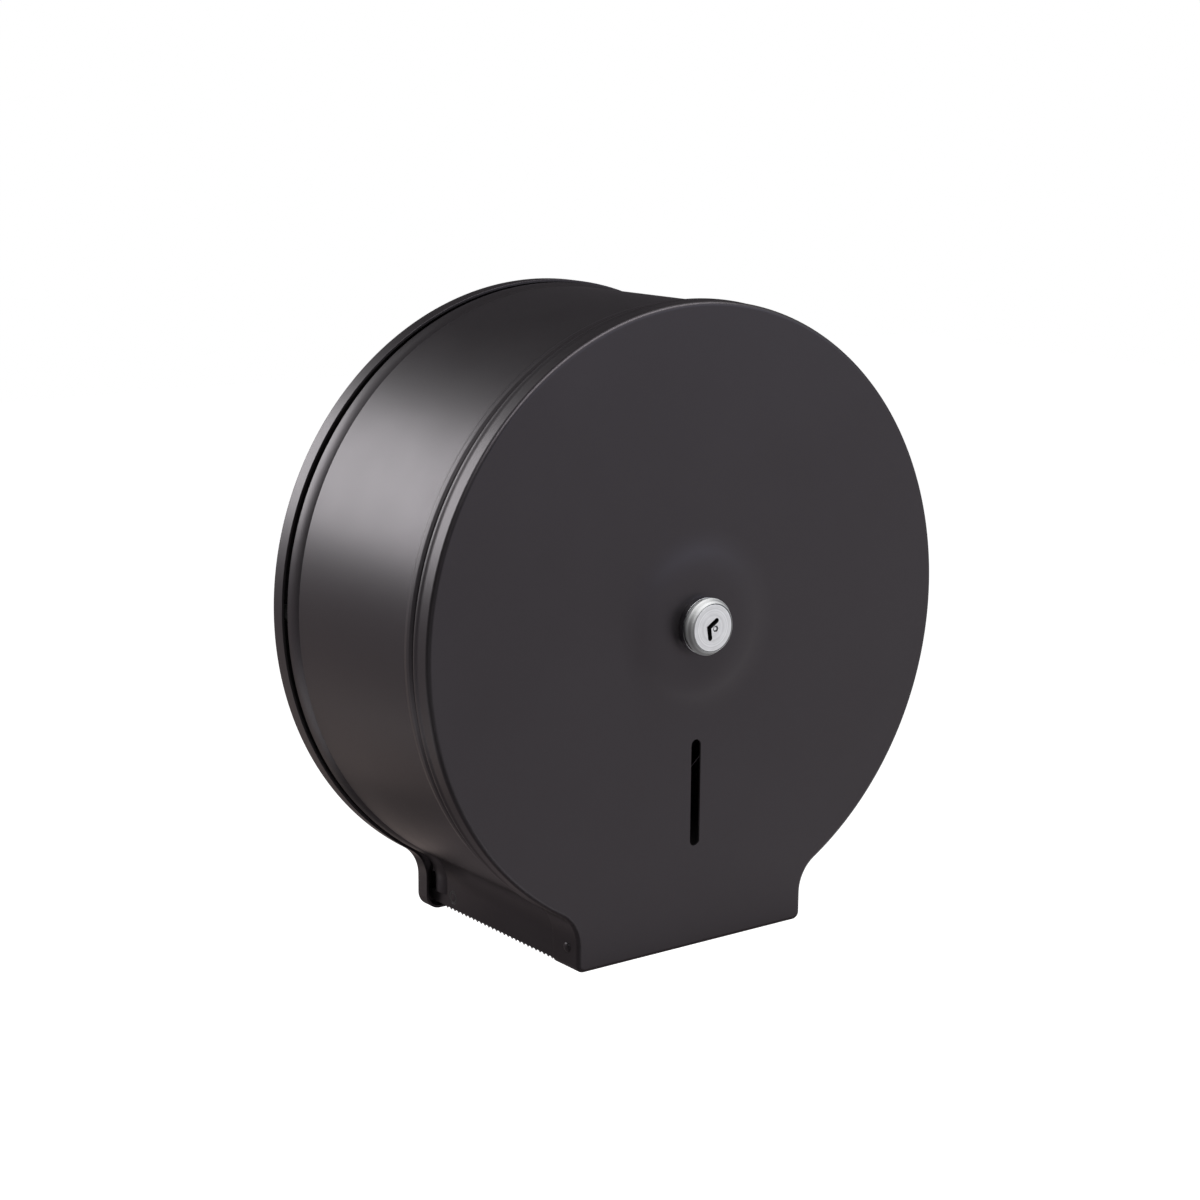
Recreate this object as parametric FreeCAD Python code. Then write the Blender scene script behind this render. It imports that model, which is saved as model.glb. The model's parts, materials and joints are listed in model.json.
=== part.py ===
import FreeCAD, Part

import math
import os
from collections import namedtuple

from FreeCAD import Vector

# Lengths are in millimetres. The origin lies on the wall, on the axis of the drum.
# Seen from the front, +X is right and +Z is up. The wall is the plane y = 0,
# and a depth is a distance in front of it.

# Outline of the cover's face: a disc with a foot
drum_radius = 135.5
foot_half_width = 61.5
foot_wall = 12.25
foot_fillet = 17.0
foot_corner = 3.5
case_depth = 120.0

# Sheet of the cover
sheet = 1.0
edge_round = 2.0
rim_depth = 10.4
tab_depth = 18.5
tab_height = 20.5
lip_depth = 6.0

# Shallow boss that carries the lock
boss_height = 2.0
boss_top_radius = 20.0
boss_foot_radius = 42.0

# Sight slot below the lock
slot_width = 5.0
slot_length = 47.2
slot_drop = 50.4

# Band of the cover: rises and drops are measured from its plain skin
tuck_gap = 0.1
ridge_rise = 0.2
groove_drop = 0.8
groove_slope = 1.2
groove_floor = 1.2
ridge_width = 4.8
ridge_slope = 1.5
bead_rise = 1.2
bead_slope = 4.5
bead_width = 4.5
cover_gap = 2.0
wall_lift = 1.6
heel_reach = 5.5
heel_height = 5.4
heel_corner = 3.0

# Rivets between the face's tabs and the band
face_rivet_radius = 1.5
face_rivet_head = 2.2
face_rivet_head_height = 0.9
face_rivet_tail = 2.0
face_rivet_setback = 8.2

# Toothed strips inside the side walls
blade_sheet = 0.8
blade_height = 12.0
blade_rear = 15.0
blade_front_gap = 2.5
tooth_pitch = 3.0

# Back plate: margins are how far it stands out past the cover's outline
back_margin = 1.0
back_foot_margin = 3.0
back_foot_drop = 2.5
back_corner = 7.0
back_sheet = 1.2
back_rim = 8.0
back_edge_round = 0.8
wall_hole_radius = 3.0
wall_hole_spacing_x = 140.0
wall_hole_spacing_z = 100.0

# Hinge at the lower rear corners
hinge_depth = 23.0
hinge_rise = 7.0
hinge_gap = 0.3
ear_sheet = 1.2
ear_round = 6.0
ear_base_width = 14.0
ear_base_rise = 22.0
ear_rivet_radius = 1.6
ear_rivet_head = 2.8
ear_rivet_head_height = 1.2
ear_rivet_spacing = 11.0
pin_radius = 2.0
pin_head = 3.2
pin_head_height = 1.2
bush_radius = 3.0
bush_flange = 4.5
bush_flange_height = 0.5

# Spindle on the back plate
flange_radius = 30.0
flange_height = 3.0
flange_spigot = 12.0
spindle_rivet_radius = 2.0
spindle_rivet_head = 3.2
spindle_rivet_head_height = 1.4
spindle_rivet_circle = 25.0
tube_radius = 16.0
tube_wall = 1.5
tube_front_wall = 2.5
spacer_height = 3.0
spacer_wall = 4.4

# Hub that turns with the paper roll
hub_wall = 3.0
hub_rib_radius = 21.5
hub_rib_width = 2.5
hub_rib_taper = 6.0
hub_flange_radius = 34.0
hub_flange_height = 2.0
hub_end_gap = 0.3

# Retainer and keeper on the spindle's front end
retainer_radius = 19.0
retainer_height = 1.5
keeper_sheet = 1.5
keeper_width = 16.0
keeper_reach = 19.5
keeper_drop = 12.0
keeper_lip = 8.5
keeper_screw_radius = 2.0
keeper_screw_head = 2.8
keeper_screw_head_height = 1.8
keeper_screw_spacing = 16.0
keeper_screw_gap = 0.3

# Lock
trim_radius = 12.1
trim_height = 3.0
lock_neck_radius = 11.2
lock_neck_height = 1.4
lock_head_radius = 12.25
lock_head_height = 0.9
lock_bevel_height = 2.7
lock_bevel_front_radius = 10.45
lock_bevel_round = 0.2
lock_thread_radius = 8.0
lock_length = 24.7
lock_washer_radius = 11.5
lock_washer_height = 1.2
lock_nut_flats = 21.0
lock_nut_height = 4.0
plug_radius = 5.5
plug_face_radius = 10.0
plug_face_height = 2.5
plug_recess = 0.1
plug_tail = 5.0
keyway_width = 2.2
keyway_depth = 8.0
cam_sheet = 2.0
cam_radius = 7.0
cam_width = 9.0
cam_reach = 17.2
cam_play = 0.6
cam_gap = 0.3
cam_washer_radius = 5.0
cam_washer_height = 0.6
cam_screw_radius = 2.0
cam_screw_head = 4.0
cam_screw_head_height = 1.8
cam_screw_length = 8.0
drive_slot_width = 1.0
drive_slot_depth = 0.9

# Rubber stops for the cover
buffer_radius = 3.5
buffer_gap = 0.3

# Clearances: running is for turning fits, seat for pieces fixed in a hole
running_fit = 0.05
seat_fit = 0.02
thread_gap = 0.1
overrun = 1.0
touch = 0.0001

# Counts, angles and shares
hub_rib_count = 8
spindle_rivet_count = 4
nut_sides = 6
buffer_angles = (0.0, 90.0, 180.0)
keyway_shares = ((0.195, 0.299), (-0.214, 0.033), (-0.145, -0.4275))

FORWARD = Vector(0, -1, 0)
RIGHT = Vector(1, 0, 0)
UP = Vector(0, 0, 1)
CENTRE = Vector(0, 0, 0)


class Outline(namedtuple("Outline", "radius half_width bottom fillet corner")):
    """A disc with a foot, as it is seen from the front."""

    def inset(self, by):
        """The outline that runs inside this one at an even distance."""
        return Outline(
            self.radius - by,
            self.half_width - by,
            self.bottom - by,
            self.fillet + by,
            self.corner - by,
        )

    def fillet_centre(self):
        """Centre of the hollow rounding between the disc and the right side of the foot."""
        return hollow_centre(self.radius, self.half_width, self.fillet)

    def fillet_angle(self):
        """Angle of that centre below the X axis, in radians."""
        centre = self.fillet_centre()
        return math.atan2(-centre.z, centre.x)

    def wire(self):
        """The closed wire in the plane of the wall."""
        centre = self.fillet_centre()
        angle = self.fillet_angle()
        inner = self.half_width - self.corner
        diagonal = self.corner * math.sqrt(0.5)
        top = Vector(0, 0, self.radius)
        on_disc = polar(CENTRE, self.radius, -angle)
        on_fillet = polar(centre, self.fillet, math.pi - angle / 2)
        wall_top = Vector(self.half_width, 0, centre.z)
        wall_end = Vector(self.half_width, 0, self.corner - self.bottom)
        on_corner = Vector(inner + diagonal, 0, self.corner - self.bottom - diagonal)
        foot_end = Vector(inner, 0, -self.bottom)
        edges = [
            arc(flipped(on_disc), top, on_disc),
            arc(on_disc, on_fillet, wall_top),
            line(wall_top, wall_end),
            arc(wall_end, on_corner, foot_end),
            line(foot_end, flipped(foot_end)),
            arc(flipped(foot_end), flipped(on_corner), flipped(wall_end)),
            line(flipped(wall_end), flipped(wall_top)),
            arc(flipped(wall_top), flipped(on_fillet), flipped(on_disc)),
        ]
        return Part.Wire(edges)


def hollow_centre(radius, half_width, fillet):
    """Centre of a hollow rounding that touches a disc and an upright wall to its right."""
    across = half_width + fillet
    reach = radius + fillet
    return Vector(across, 0, -math.sqrt(reach * reach - across * across))


def polar(centre, radius, angle):
    """A point at an angle, in radians, from the X axis towards +Z."""
    return centre + Vector(radius * math.cos(angle), 0, radius * math.sin(angle))


def flipped(point):
    """The same point on the left side."""
    return Vector(-point.x, point.y, point.z)


def mirrored(shape):
    """The same shape on the left side."""
    return shape.mirror(CENTRE, RIGHT)


def line(start, end):
    return Part.LineSegment(start, end).toShape()


def arc(start, middle, end):
    return Part.Arc(start, middle, end).toShape()


def place(x, depth, z):
    """A point at a depth in front of the wall."""
    return Vector(x, -depth, z)


def prism(wire, start, end):
    """A wire in the plane of the wall, filled and extruded between two depths."""
    face = Part.Face(wire)
    face.translate(FORWARD * start)
    return face.extrude(FORWARD * (end - start))


def rod(radius, start, end, x=0.0, z=0.0):
    """A round rod that points away from the wall, between two depths."""
    return Part.makeCylinder(radius, end - start, place(x, start, z), FORWARD)


def cone(start_radius, end_radius, start, end, x=0.0, z=0.0):
    """A round taper that points away from the wall, between two depths."""
    return Part.makeCone(start_radius, end_radius, end - start, place(x, start, z), FORWARD)


def cross_rod(radius, left, right, depth, z):
    """A round rod along X, between two places."""
    return Part.makeCylinder(radius, right - left, place(left, depth, z), RIGHT)


def block(left, right, start, end, low, high):
    """A box between two sides, two depths and two heights."""
    return Part.makeBox(right - left, end - start, high - low, place(left, end, low))


def ring(outer, inner, start, end):
    """A round ring on the drum's axis."""
    return rod(outer, start, end).cut(rod(inner, start - overrun, end + overrun))


def polygon_wire(points):
    """A closed wire through points."""
    return Part.makePolygon(list(points) + [points[0]])


def fused(shapes):
    """One solid from several that touch."""
    return shapes[0].fuse(list(shapes[1:])).removeSplitter()


def rounded_at(solid, depth, radius):
    """The solid with every edge that lies at a depth rounded."""
    edges = [
        edge
        for edge in solid.Edges
        if all(abs(vertex.Y + depth) < touch for vertex in edge.Vertexes)
    ]
    return solid.makeFillet(radius, edges)


# Places that several pieces share
foot_wall_top = hollow_centre(drum_radius, foot_half_width, foot_fillet).z
foot_bottom = foot_wall - foot_wall_top
face_outline = Outline(drum_radius, foot_half_width, foot_bottom, foot_fillet, foot_corner)
back_outline = Outline(
    drum_radius + back_margin,
    foot_half_width + back_foot_margin,
    foot_bottom + back_foot_drop,
    foot_fillet,
    back_corner,
)
band_outline = face_outline.inset(sheet + tuck_gap + ridge_rise)

rim_rear = case_depth - rim_depth
tab_rear = case_depth - tab_depth
band_front = case_depth - edge_round
bead_rear = back_rim + cover_gap
wall_bottom = foot_bottom - wall_lift
wall_inside = band_outline.half_width - sheet
blade_inside = wall_inside - blade_sheet

hinge_z = hinge_rise - foot_bottom
ear_outside = blade_inside - bush_flange_height - hinge_gap
ear_inside = ear_outside - ear_sheet

lock_seat = case_depth + boss_height
neck_rear = lock_seat + trim_height
head_rear = neck_rear + lock_neck_height
bevel_rear = head_rear + lock_head_height
head_front = bevel_rear + lock_bevel_height
lock_rear = lock_seat - lock_length
cam_front = lock_rear - cam_gap
cam_rear = cam_front - cam_sheet
cam_washer_rear = cam_rear - cam_washer_height
cam_screw_rear = cam_washer_rear - cam_screw_head_height
nut_front = lock_seat - sheet - lock_washer_height
lip_rear = cam_front + cam_play

keeper_front = cam_screw_rear - keeper_screw_gap - keeper_screw_head_height
retainer_front = keeper_front - keeper_sheet
tube_front = retainer_front - retainer_height
hub_front = tube_front - hub_end_gap
hub_bore = tube_radius + running_fit
flange_front = back_sheet + flange_height
hub_rear = flange_front + spacer_height + hub_end_gap

blade_front = tab_rear - blade_front_gap
face_rivet_depth = case_depth - face_rivet_setback
face_rivet_z = foot_wall_top - face_rivet_head - seat_fit


def ear_rivet_places():
    """Places of the two rivets in the right hinge ear, as x and z."""
    x = ear_inside - ear_base_width / 2
    return [(x, hinge_z), (x, hinge_z + ear_rivet_spacing)]


def spindle_rivet_places():
    """Places of the rivets in the spindle's flange, as x and z."""
    step = 2 * math.pi / spindle_rivet_count
    points = [polar(CENTRE, spindle_rivet_circle, step * (i + 0.5)) for i in range(spindle_rivet_count)]
    return [(point.x, point.z) for point in points]


def wall_hole_places():
    """Places of the wall screws, as x and z."""
    across = wall_hole_spacing_x / 2
    up = wall_hole_spacing_z / 2
    return [(across, up), (-across, up), (-across, -up), (across, -up)]


def back_plate():
    """Pan with a shallow rim and holes for the wall screws and the rivets."""
    outer = rounded_at(prism(back_outline.wire(), 0.0, back_rim), 0.0, back_edge_round)
    hollow = prism(back_outline.inset(back_sheet).wire(), back_sheet, back_rim + overrun)
    holes = [rod(wall_hole_radius, -overrun, back_rim, x, z) for x, z in wall_hole_places()]
    for x, z in ear_rivet_places():
        for side in (x, -x):
            holes.append(rod(ear_rivet_radius + seat_fit, -overrun, back_rim, side, z))
    for x, z in spindle_rivet_places():
        holes.append(rod(spindle_rivet_radius + seat_fit, -overrun, back_rim, x, z))
    return outer.cut([hollow] + holes)


def hinge_ear():
    """Right ear: a base on the back plate and a flange that carries the pin."""
    low = hinge_z - ear_round
    base_front = back_sheet + ear_sheet
    base = block(ear_inside - ear_base_width, ear_outside, back_sheet, base_front, low, low + ear_base_rise)
    flange = block(ear_inside, ear_outside, back_sheet, hinge_depth, low, hinge_z + ear_round)
    end = cross_rod(ear_round, ear_inside, ear_outside, hinge_depth, hinge_z)
    bore = cross_rod(pin_radius + seat_fit, ear_inside - overrun, ear_outside + overrun, hinge_depth, hinge_z)
    holes = [
        rod(ear_rivet_radius + seat_fit, 0.0, base_front + overrun, x, z)
        for x, z in ear_rivet_places()
    ]
    return fused([base, flange, end]).cut([bore] + holes)


def hinge_ear_rivets():
    """Rivets through both ears, flush with the wall side."""
    base_front = back_sheet + ear_sheet
    rivets = []
    for x, z in ear_rivet_places():
        for side in (x, -x):
            rivets.append(rivet(ear_rivet_radius, ear_rivet_head, ear_rivet_head_height, base_front, side, z))
    return Part.makeCompound(rivets)


def rivet(radius, head_radius, head_height, seat, x, z):
    """A rivet from the wall to its seat, with a low round head."""
    shank = rod(radius, 0.0, seat, x, z)
    head = cone(head_radius, radius, seat, seat + head_height, x, z)
    return fused([shank, head])


def hinge_pin():
    """Right pin: its head lies inside the ear, and its end is flush with the cover's wall."""
    head_end = ear_inside - pin_head_height
    shank = cross_rod(pin_radius, ear_inside, band_outline.half_width, hinge_depth, hinge_z)
    head = cross_rod(pin_head, head_end, ear_inside, hinge_depth, hinge_z)
    return fused([head, shank])


def hinge_bush():
    """Right bush in the cover's wall and blade, with its flange towards the ear."""
    flange_start = blade_inside - bush_flange_height
    body = cross_rod(bush_radius, blade_inside, band_outline.half_width, hinge_depth, hinge_z)
    flange = cross_rod(bush_flange, flange_start, blade_inside, hinge_depth, hinge_z)
    bore = cross_rod(
        pin_radius + running_fit,
        flange_start - overrun,
        band_outline.half_width + overrun,
        hinge_depth,
        hinge_z,
    )
    return fused([body, flange]).cut(bore)


def bush_hole():
    """Cutter for the hole that holds the right bush."""
    return cross_rod(
        bush_radius + seat_fit,
        blade_inside - overrun,
        band_outline.half_width + bead_rise + overrun,
        hinge_depth,
        hinge_z,
    )


def spindle_flange():
    """Disc riveted to the back plate, with a spigot that carries the tube."""
    disc = rod(flange_radius, back_sheet, flange_front)
    spigot = rod(tube_radius - tube_wall - seat_fit, flange_front, flange_front + flange_spigot)
    holes = [
        rod(spindle_rivet_radius + seat_fit, 0.0, flange_front + overrun, x, z)
        for x, z in spindle_rivet_places()
    ]
    return fused([disc, spigot]).cut(holes)


def spindle_rivets():
    """Rivets of the spindle's flange, flush with the wall side."""
    return Part.makeCompound([
        rivet(spindle_rivet_radius, spindle_rivet_head, spindle_rivet_head_height, flange_front, x, z)
        for x, z in spindle_rivet_places()
    ])


def keeper_screw_heights():
    """Heights of the two keeper screws."""
    return (keeper_screw_spacing / 2, -keeper_screw_spacing / 2)


def keeper_screw_holes():
    """Cutters for the keeper screws."""
    start = tube_front - tube_front_wall - overrun
    end = keeper_front + overrun
    return [rod(keeper_screw_radius + seat_fit, start, end, 0.0, z) for z in keeper_screw_heights()]


def spindle_tube():
    """Tube with a closed front end that takes the keeper screws."""
    outer = rod(tube_radius, flange_front, tube_front)
    hollow = rod(tube_radius - tube_wall, flange_front - overrun, tube_front - tube_front_wall)
    return outer.cut([hollow] + keeper_screw_holes())


def hub_spacer():
    """Ring between the flange and the roll hub."""
    inner = tube_radius + running_fit
    return ring(inner + spacer_wall, inner, flange_front, flange_front + spacer_height)


def roll_hub():
    """Turning hub with long ribs and a rear flange."""
    body = rod(hub_bore + hub_wall, hub_rear, hub_front)
    flange = rod(hub_flange_radius, hub_rear, hub_rear + hub_flange_height)
    ribs = []
    for i in range(hub_rib_count):
        rib = hub_rib()
        rib.rotate(CENTRE, FORWARD, 360.0 * i / hub_rib_count)
        ribs.append(rib)
    bore = rod(hub_bore, hub_rear - overrun, hub_front + overrun)
    return fused([body, flange] + ribs).cut(bore)


def hub_rib():
    """One rib along the top of the hub, with a sloping front end."""
    inner = hub_bore + hub_wall / 2
    outside = hub_bore + hub_wall
    side = hub_rib_width / 2
    points = [
        place(-side, hub_rear, inner),
        place(-side, hub_front, inner),
        place(-side, hub_front, outside),
        place(-side, hub_front - hub_rib_taper, hub_rib_radius),
        place(-side, hub_rear, hub_rib_radius),
    ]
    return Part.Face(polygon_wire(points)).extrude(RIGHT * hub_rib_width)


def hub_retainer():
    """Disc on the spindle's end that keeps the hub on."""
    return rod(retainer_radius, tube_front, retainer_front).cut(keeper_screw_holes())


def lock_keeper():
    """Bent strip whose lip the lock's cam catches."""
    lip_front = lip_rear + keeper_sheet
    inner_top = keeper_reach - keeper_sheet
    lip_end = keeper_reach - keeper_lip
    side = keeper_width / 2
    points = [
        place(-side, retainer_front, -keeper_drop),
        place(-side, retainer_front, keeper_reach),
        place(-side, lip_front, keeper_reach),
        place(-side, lip_front, lip_end),
        place(-side, lip_rear, lip_end),
        place(-side, lip_rear, inner_top),
        place(-side, keeper_front, inner_top),
        place(-side, keeper_front, -keeper_drop),
    ]
    strip = Part.Face(polygon_wire(points)).extrude(RIGHT * keeper_width)
    return strip.cut(keeper_screw_holes())


def keeper_screws():
    """Screws through the keeper and the retainer into the spindle tube."""
    screws = []
    for z in keeper_screw_heights():
        shank = rod(keeper_screw_radius, tube_front - tube_front_wall, keeper_front, 0.0, z)
        head = rod(keeper_screw_head, keeper_front, keeper_front + keeper_screw_head_height, 0.0, z)
        screws.append(fused([shank, head]).cut(drive_slot(keeper_front + keeper_screw_head_height, z)))
    return Part.makeCompound(screws)


def drive_slot(top, z):
    """Cutter for the slot in a screw head that faces the front."""
    side = keeper_screw_head + overrun
    half = drive_slot_width / 2
    return block(-side, side, top - drive_slot_depth, top + overrun, z - half, z + half)


def cover_buffers():
    """Rubber stops inside the back plate's rim."""
    circle = back_outline.radius - back_sheet - buffer_radius - buffer_gap
    stops = []
    for angle in buffer_angles:
        point = polar(CENTRE, circle, math.radians(angle))
        stops.append(rod(buffer_radius, back_sheet, bead_rear - buffer_gap, point.x, point.z))
    return Part.makeCompound(stops)


def boss_solid():
    """Low round boss with an S-shaped flank, standing on the face."""
    run = (boss_foot_radius - boss_top_radius) / 2
    rise = boss_height / 2
    bend = (run * run + rise * rise) / boss_height
    half_turn = math.asin(run / bend) / 2
    near = bend * math.sin(half_turn)
    lift = bend * (1 - math.cos(half_turn))
    middle = place(boss_foot_radius - run, case_depth + rise, 0.0)
    foot = place(boss_foot_radius, case_depth, 0.0)
    shoulder = place(boss_top_radius, lock_seat, 0.0)
    top = place(0.0, lock_seat, 0.0)
    base = place(0.0, case_depth, 0.0)
    edges = [
        arc(foot, place(boss_foot_radius - near, case_depth + lift, 0.0), middle),
        arc(middle, place(boss_top_radius + near, lock_seat - lift, 0.0), shoulder),
        line(shoulder, top),
        line(top, base),
        line(base, foot),
    ]
    return Part.Face(Part.Wire(edges)).revolve(CENTRE, FORWARD, 360)


def slot_cutter():
    """Cutter for the sight slot, with round ends."""
    half = slot_width / 2
    high = -slot_drop - half
    low = half - slot_drop - slot_length
    start = tab_rear
    end = lock_seat + overrun
    ends = [rod(half, start, end, 0.0, z) for z in (high, low)]
    return fused([block(-half, half, start, end, low, high)] + ends)


def face_rivet_hole():
    """Cutter for the right face rivet."""
    return cross_rod(
        face_rivet_radius + seat_fit,
        blade_inside,
        foot_half_width + overrun,
        face_rivet_depth,
        face_rivet_z,
    )


def cover_face():
    """Pan of the face, with its rim, side tabs, lower lip, boss, slot and lock hole."""
    outer = rounded_at(prism(face_outline.wire(), tab_rear, case_depth), case_depth, edge_round)
    inner_wire = face_outline.inset(sheet).wire()
    hollow = prism(inner_wire, tab_rear - overrun, case_depth - sheet)
    hollow = rounded_at(hollow, case_depth - sheet, edge_round - sheet)
    wide = drum_radius + overrun
    above_tabs = block(-wide, wide, tab_rear - overrun, rim_rear, tab_height - foot_bottom, wide)
    lip_side = foot_half_width - foot_corner
    behind_lip = block(
        -lip_side,
        lip_side,
        tab_rear - overrun,
        case_depth - lip_depth,
        -foot_bottom - overrun,
        foot_corner - foot_bottom,
    )
    boss = boss_solid()
    under_boss = boss.copy()
    under_boss.translate(FORWARD * -sheet)
    lock_hole = rod(lock_thread_radius + thread_gap, tab_rear, lock_seat + overrun)
    pan = outer.cut([hollow, above_tabs, behind_lip])
    pan = fused([pan, boss])
    rivet_holes = [face_rivet_hole(), mirrored(face_rivet_hole())]
    return pan.cut([under_boss, lock_hole, slot_cutter()] + rivet_holes)


def face_rivets():
    """Rivets through the face's tabs and the band's walls."""
    inner_seat = wall_inside + ridge_rise
    tail_end = inner_seat - face_rivet_head_height
    shank = cross_rod(face_rivet_radius, tail_end, foot_half_width, face_rivet_depth, face_rivet_z)
    tail = cross_rod(face_rivet_tail, tail_end, inner_seat, face_rivet_depth, face_rivet_z)
    head = Part.makeCone(
        face_rivet_head,
        face_rivet_radius,
        face_rivet_head_height,
        place(foot_half_width, face_rivet_depth, face_rivet_z),
        RIGHT,
    )
    right = fused([shank, tail, head])
    return Part.makeCompound([right, mirrored(right)])


def band_section(skin):
    """Section of the band; skin turns a rise over the plain skin and a depth into a point."""
    groove_front = rim_rear - groove_slope
    groove_rear = groove_front - groove_floor
    ridge_front = groove_rear - groove_slope
    ridge_rear = ridge_front - ridge_width
    bead_front = bead_rear + bead_width
    hem = bead_rear + sheet
    outside = [
        (ridge_rise, band_front),
        (ridge_rise, rim_rear),
        (-groove_drop, groove_front),
        (-groove_drop, groove_rear),
        (ridge_rise, ridge_front),
        (ridge_rise, ridge_rear),
        (0.0, ridge_rear - ridge_slope),
        (0.0, bead_front + bead_slope),
        (bead_rise, bead_front),
        (bead_rise, hem),
    ]
    folded = bead_rise - 2 * sheet
    inside = [(rise - sheet, depth) for rise, depth in outside[:-1]]
    inside = inside + [(folded, bead_front), (folded, hem)]
    outer_points = [skin(rise, depth) for rise, depth in outside]
    inner_points = [skin(rise, depth) for rise, depth in inside]
    edges = [line(a, b) for a, b in zip(outer_points, outer_points[1:])]
    edges.append(arc(outer_points[-1], skin(bead_rise - sheet, bead_rear), inner_points[-1]))
    back_up = list(reversed(inner_points))
    edges = edges + [line(a, b) for a, b in zip(back_up, back_up[1:])]
    edges.append(line(inner_points[0], outer_points[0]))
    return Part.Face(Part.Wire(edges))


def cover_band():
    """Rolled drum wall that runs down into the two sides of the foot."""
    centre = band_outline.fillet_centre()
    angle = math.degrees(band_outline.fillet_angle())

    def drum_skin(rise, depth):
        return place(band_outline.radius + rise, depth, 0.0)

    def wall_skin(rise, depth):
        return place(band_outline.half_width + rise, depth, centre.z)

    drum_section = band_section(drum_skin)
    drum_section.rotate(CENTRE, FORWARD, -angle)
    drum = drum_section.revolve(CENTRE, FORWARD, 180.0 + 2 * angle)
    fillet = band_section(wall_skin).revolve(centre, FORWARD, -angle)
    wall = band_section(wall_skin).extrude(UP * (-wall_bottom - centre.z))
    wall = wall.cut(above_heel_cutter())
    side = fused([fillet, wall, heel()])
    side = side.cut([under_tab_cutter(), bush_hole(), face_rivet_hole()])
    return fused([drum, side, mirrored(side)])


def heel():
    """Right heel: a tab low on the wall that reaches back into the back plate's rim."""
    rear = bead_rear - heel_reach
    low = -wall_bottom
    high = low + heel_height
    front = bead_rear + bead_width + bead_slope
    tab = block(wall_inside, band_outline.half_width, rear, front, low, high)
    corner = block(
        wall_inside - overrun,
        band_outline.half_width + overrun,
        rear - overrun,
        rear + heel_corner,
        low - overrun,
        low + heel_corner,
    )
    rounding = cross_rod(
        heel_corner,
        wall_inside - 2 * overrun,
        band_outline.half_width + 2 * overrun,
        rear + heel_corner,
        low + heel_corner,
    )
    return tab.cut(corner.cut(rounding))


def above_heel_cutter():
    """Cutter that ends the right wall's bead above the heel."""
    left = wall_inside - 2 * sheet
    right = band_outline.half_width + bead_rise + overrun
    high = heel_height - wall_bottom
    return block(left, right, bead_rear - overrun, bead_rear + bead_width + bead_slope, -foot_bottom, high)


def under_tab_cutter():
    """Cutter that lifts the right wall's edge clear of the face's rounded lower corner."""
    left = wall_inside - groove_drop - overrun
    right = band_outline.half_width + overrun
    high = foot_corner - foot_bottom
    return block(left, right, tab_rear - tuck_gap, case_depth, -foot_bottom, high)


def tear_blade():
    """Right toothed strip, fixed inside the wall with its teeth below the wall's edge."""
    length = blade_front - blade_rear
    count = round(length / tooth_pitch)
    pitch = length / count
    top = blade_height - foot_bottom
    points = [place(blade_inside, blade_rear, top), place(blade_inside, blade_rear, -wall_bottom)]
    for i in range(count):
        start = blade_rear + i * pitch
        points.append(place(blade_inside, start + pitch / 2, -foot_bottom))
        points.append(place(blade_inside, start + pitch, -wall_bottom))
    points.append(place(blade_inside, blade_front, top))
    strip = Part.Face(polygon_wire(points)).extrude(RIGHT * blade_sheet)
    return strip.cut(bush_hole())


def lock_trim_ring():
    """Collar between the face and the lock's neck."""
    return ring(trim_radius, lock_thread_radius + thread_gap, lock_seat, neck_rear)


def lock_body():
    """Bevelled head on a narrow neck, and threaded barrel, bored for the plug."""
    bevel = cone(lock_head_radius, lock_bevel_front_radius, bevel_rear, head_front)
    bevel = rounded_at(bevel, head_front, lock_bevel_round)
    head = rod(lock_head_radius, head_rear, bevel_rear)
    neck = rod(lock_neck_radius, neck_rear, head_rear)
    barrel = rod(lock_thread_radius, lock_rear, neck_rear)
    bore = rod(plug_radius + running_fit, lock_rear - overrun, head_front + overrun)
    face_bore = rod(plug_face_radius + running_fit, head_front - plug_face_height, head_front + overrun)
    return fused([bevel, head, neck, barrel]).cut([bore, face_bore])


def lock_washer():
    """Washer behind the face."""
    front = nut_front + lock_washer_height
    return ring(lock_washer_radius, lock_thread_radius + thread_gap, nut_front, front)


def lock_nut():
    """Flat nut that clamps the lock to the face."""
    corner = lock_nut_flats / math.sqrt(3)
    step = 2 * math.pi / nut_sides
    points = [polar(CENTRE, corner, step * i) for i in range(nut_sides)]
    start = nut_front - lock_nut_height
    hexagon = prism(polygon_wire(points), start, nut_front)
    return hexagon.cut(rod(lock_thread_radius + thread_gap, start - overrun, nut_front + overrun))


def keyway_cutter():
    """Bent keyway: two straight runs with round ends."""
    end = head_front + overrun
    start = head_front - keyway_depth
    half = keyway_width / 2
    points = [(a * plug_face_radius, b * plug_face_radius) for a, b in keyway_shares]
    pieces = [rod(half, start, end, x, z) for x, z in points]
    for (x1, z1), (x2, z2) in zip(points, points[1:]):
        length = math.hypot(x2 - x1, z2 - z1)
        run = block(0.0, length, start, end, -half, half)
        run.rotate(CENTRE, FORWARD, math.degrees(math.atan2(z2 - z1, x2 - x1)))
        run.translate(Vector(x1, 0, z1))
        pieces.append(run)
    return fused(pieces)


def lock_plug():
    """Turning plug with its keyway, and a square tail for the cam."""
    face_rear = head_front - plug_face_height + plug_recess
    face = rod(plug_face_radius, face_rear, head_front - plug_recess)
    shank = rod(plug_radius, cam_front, face_rear)
    half = plug_tail / 2
    tail = block(-half, half, cam_rear, cam_front, -half, half)
    tapped = rod(cam_screw_radius + seat_fit, cam_rear - overrun, cam_rear + cam_screw_length)
    return fused([face, shank, tail]).cut([keyway_cutter(), tapped])


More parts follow.
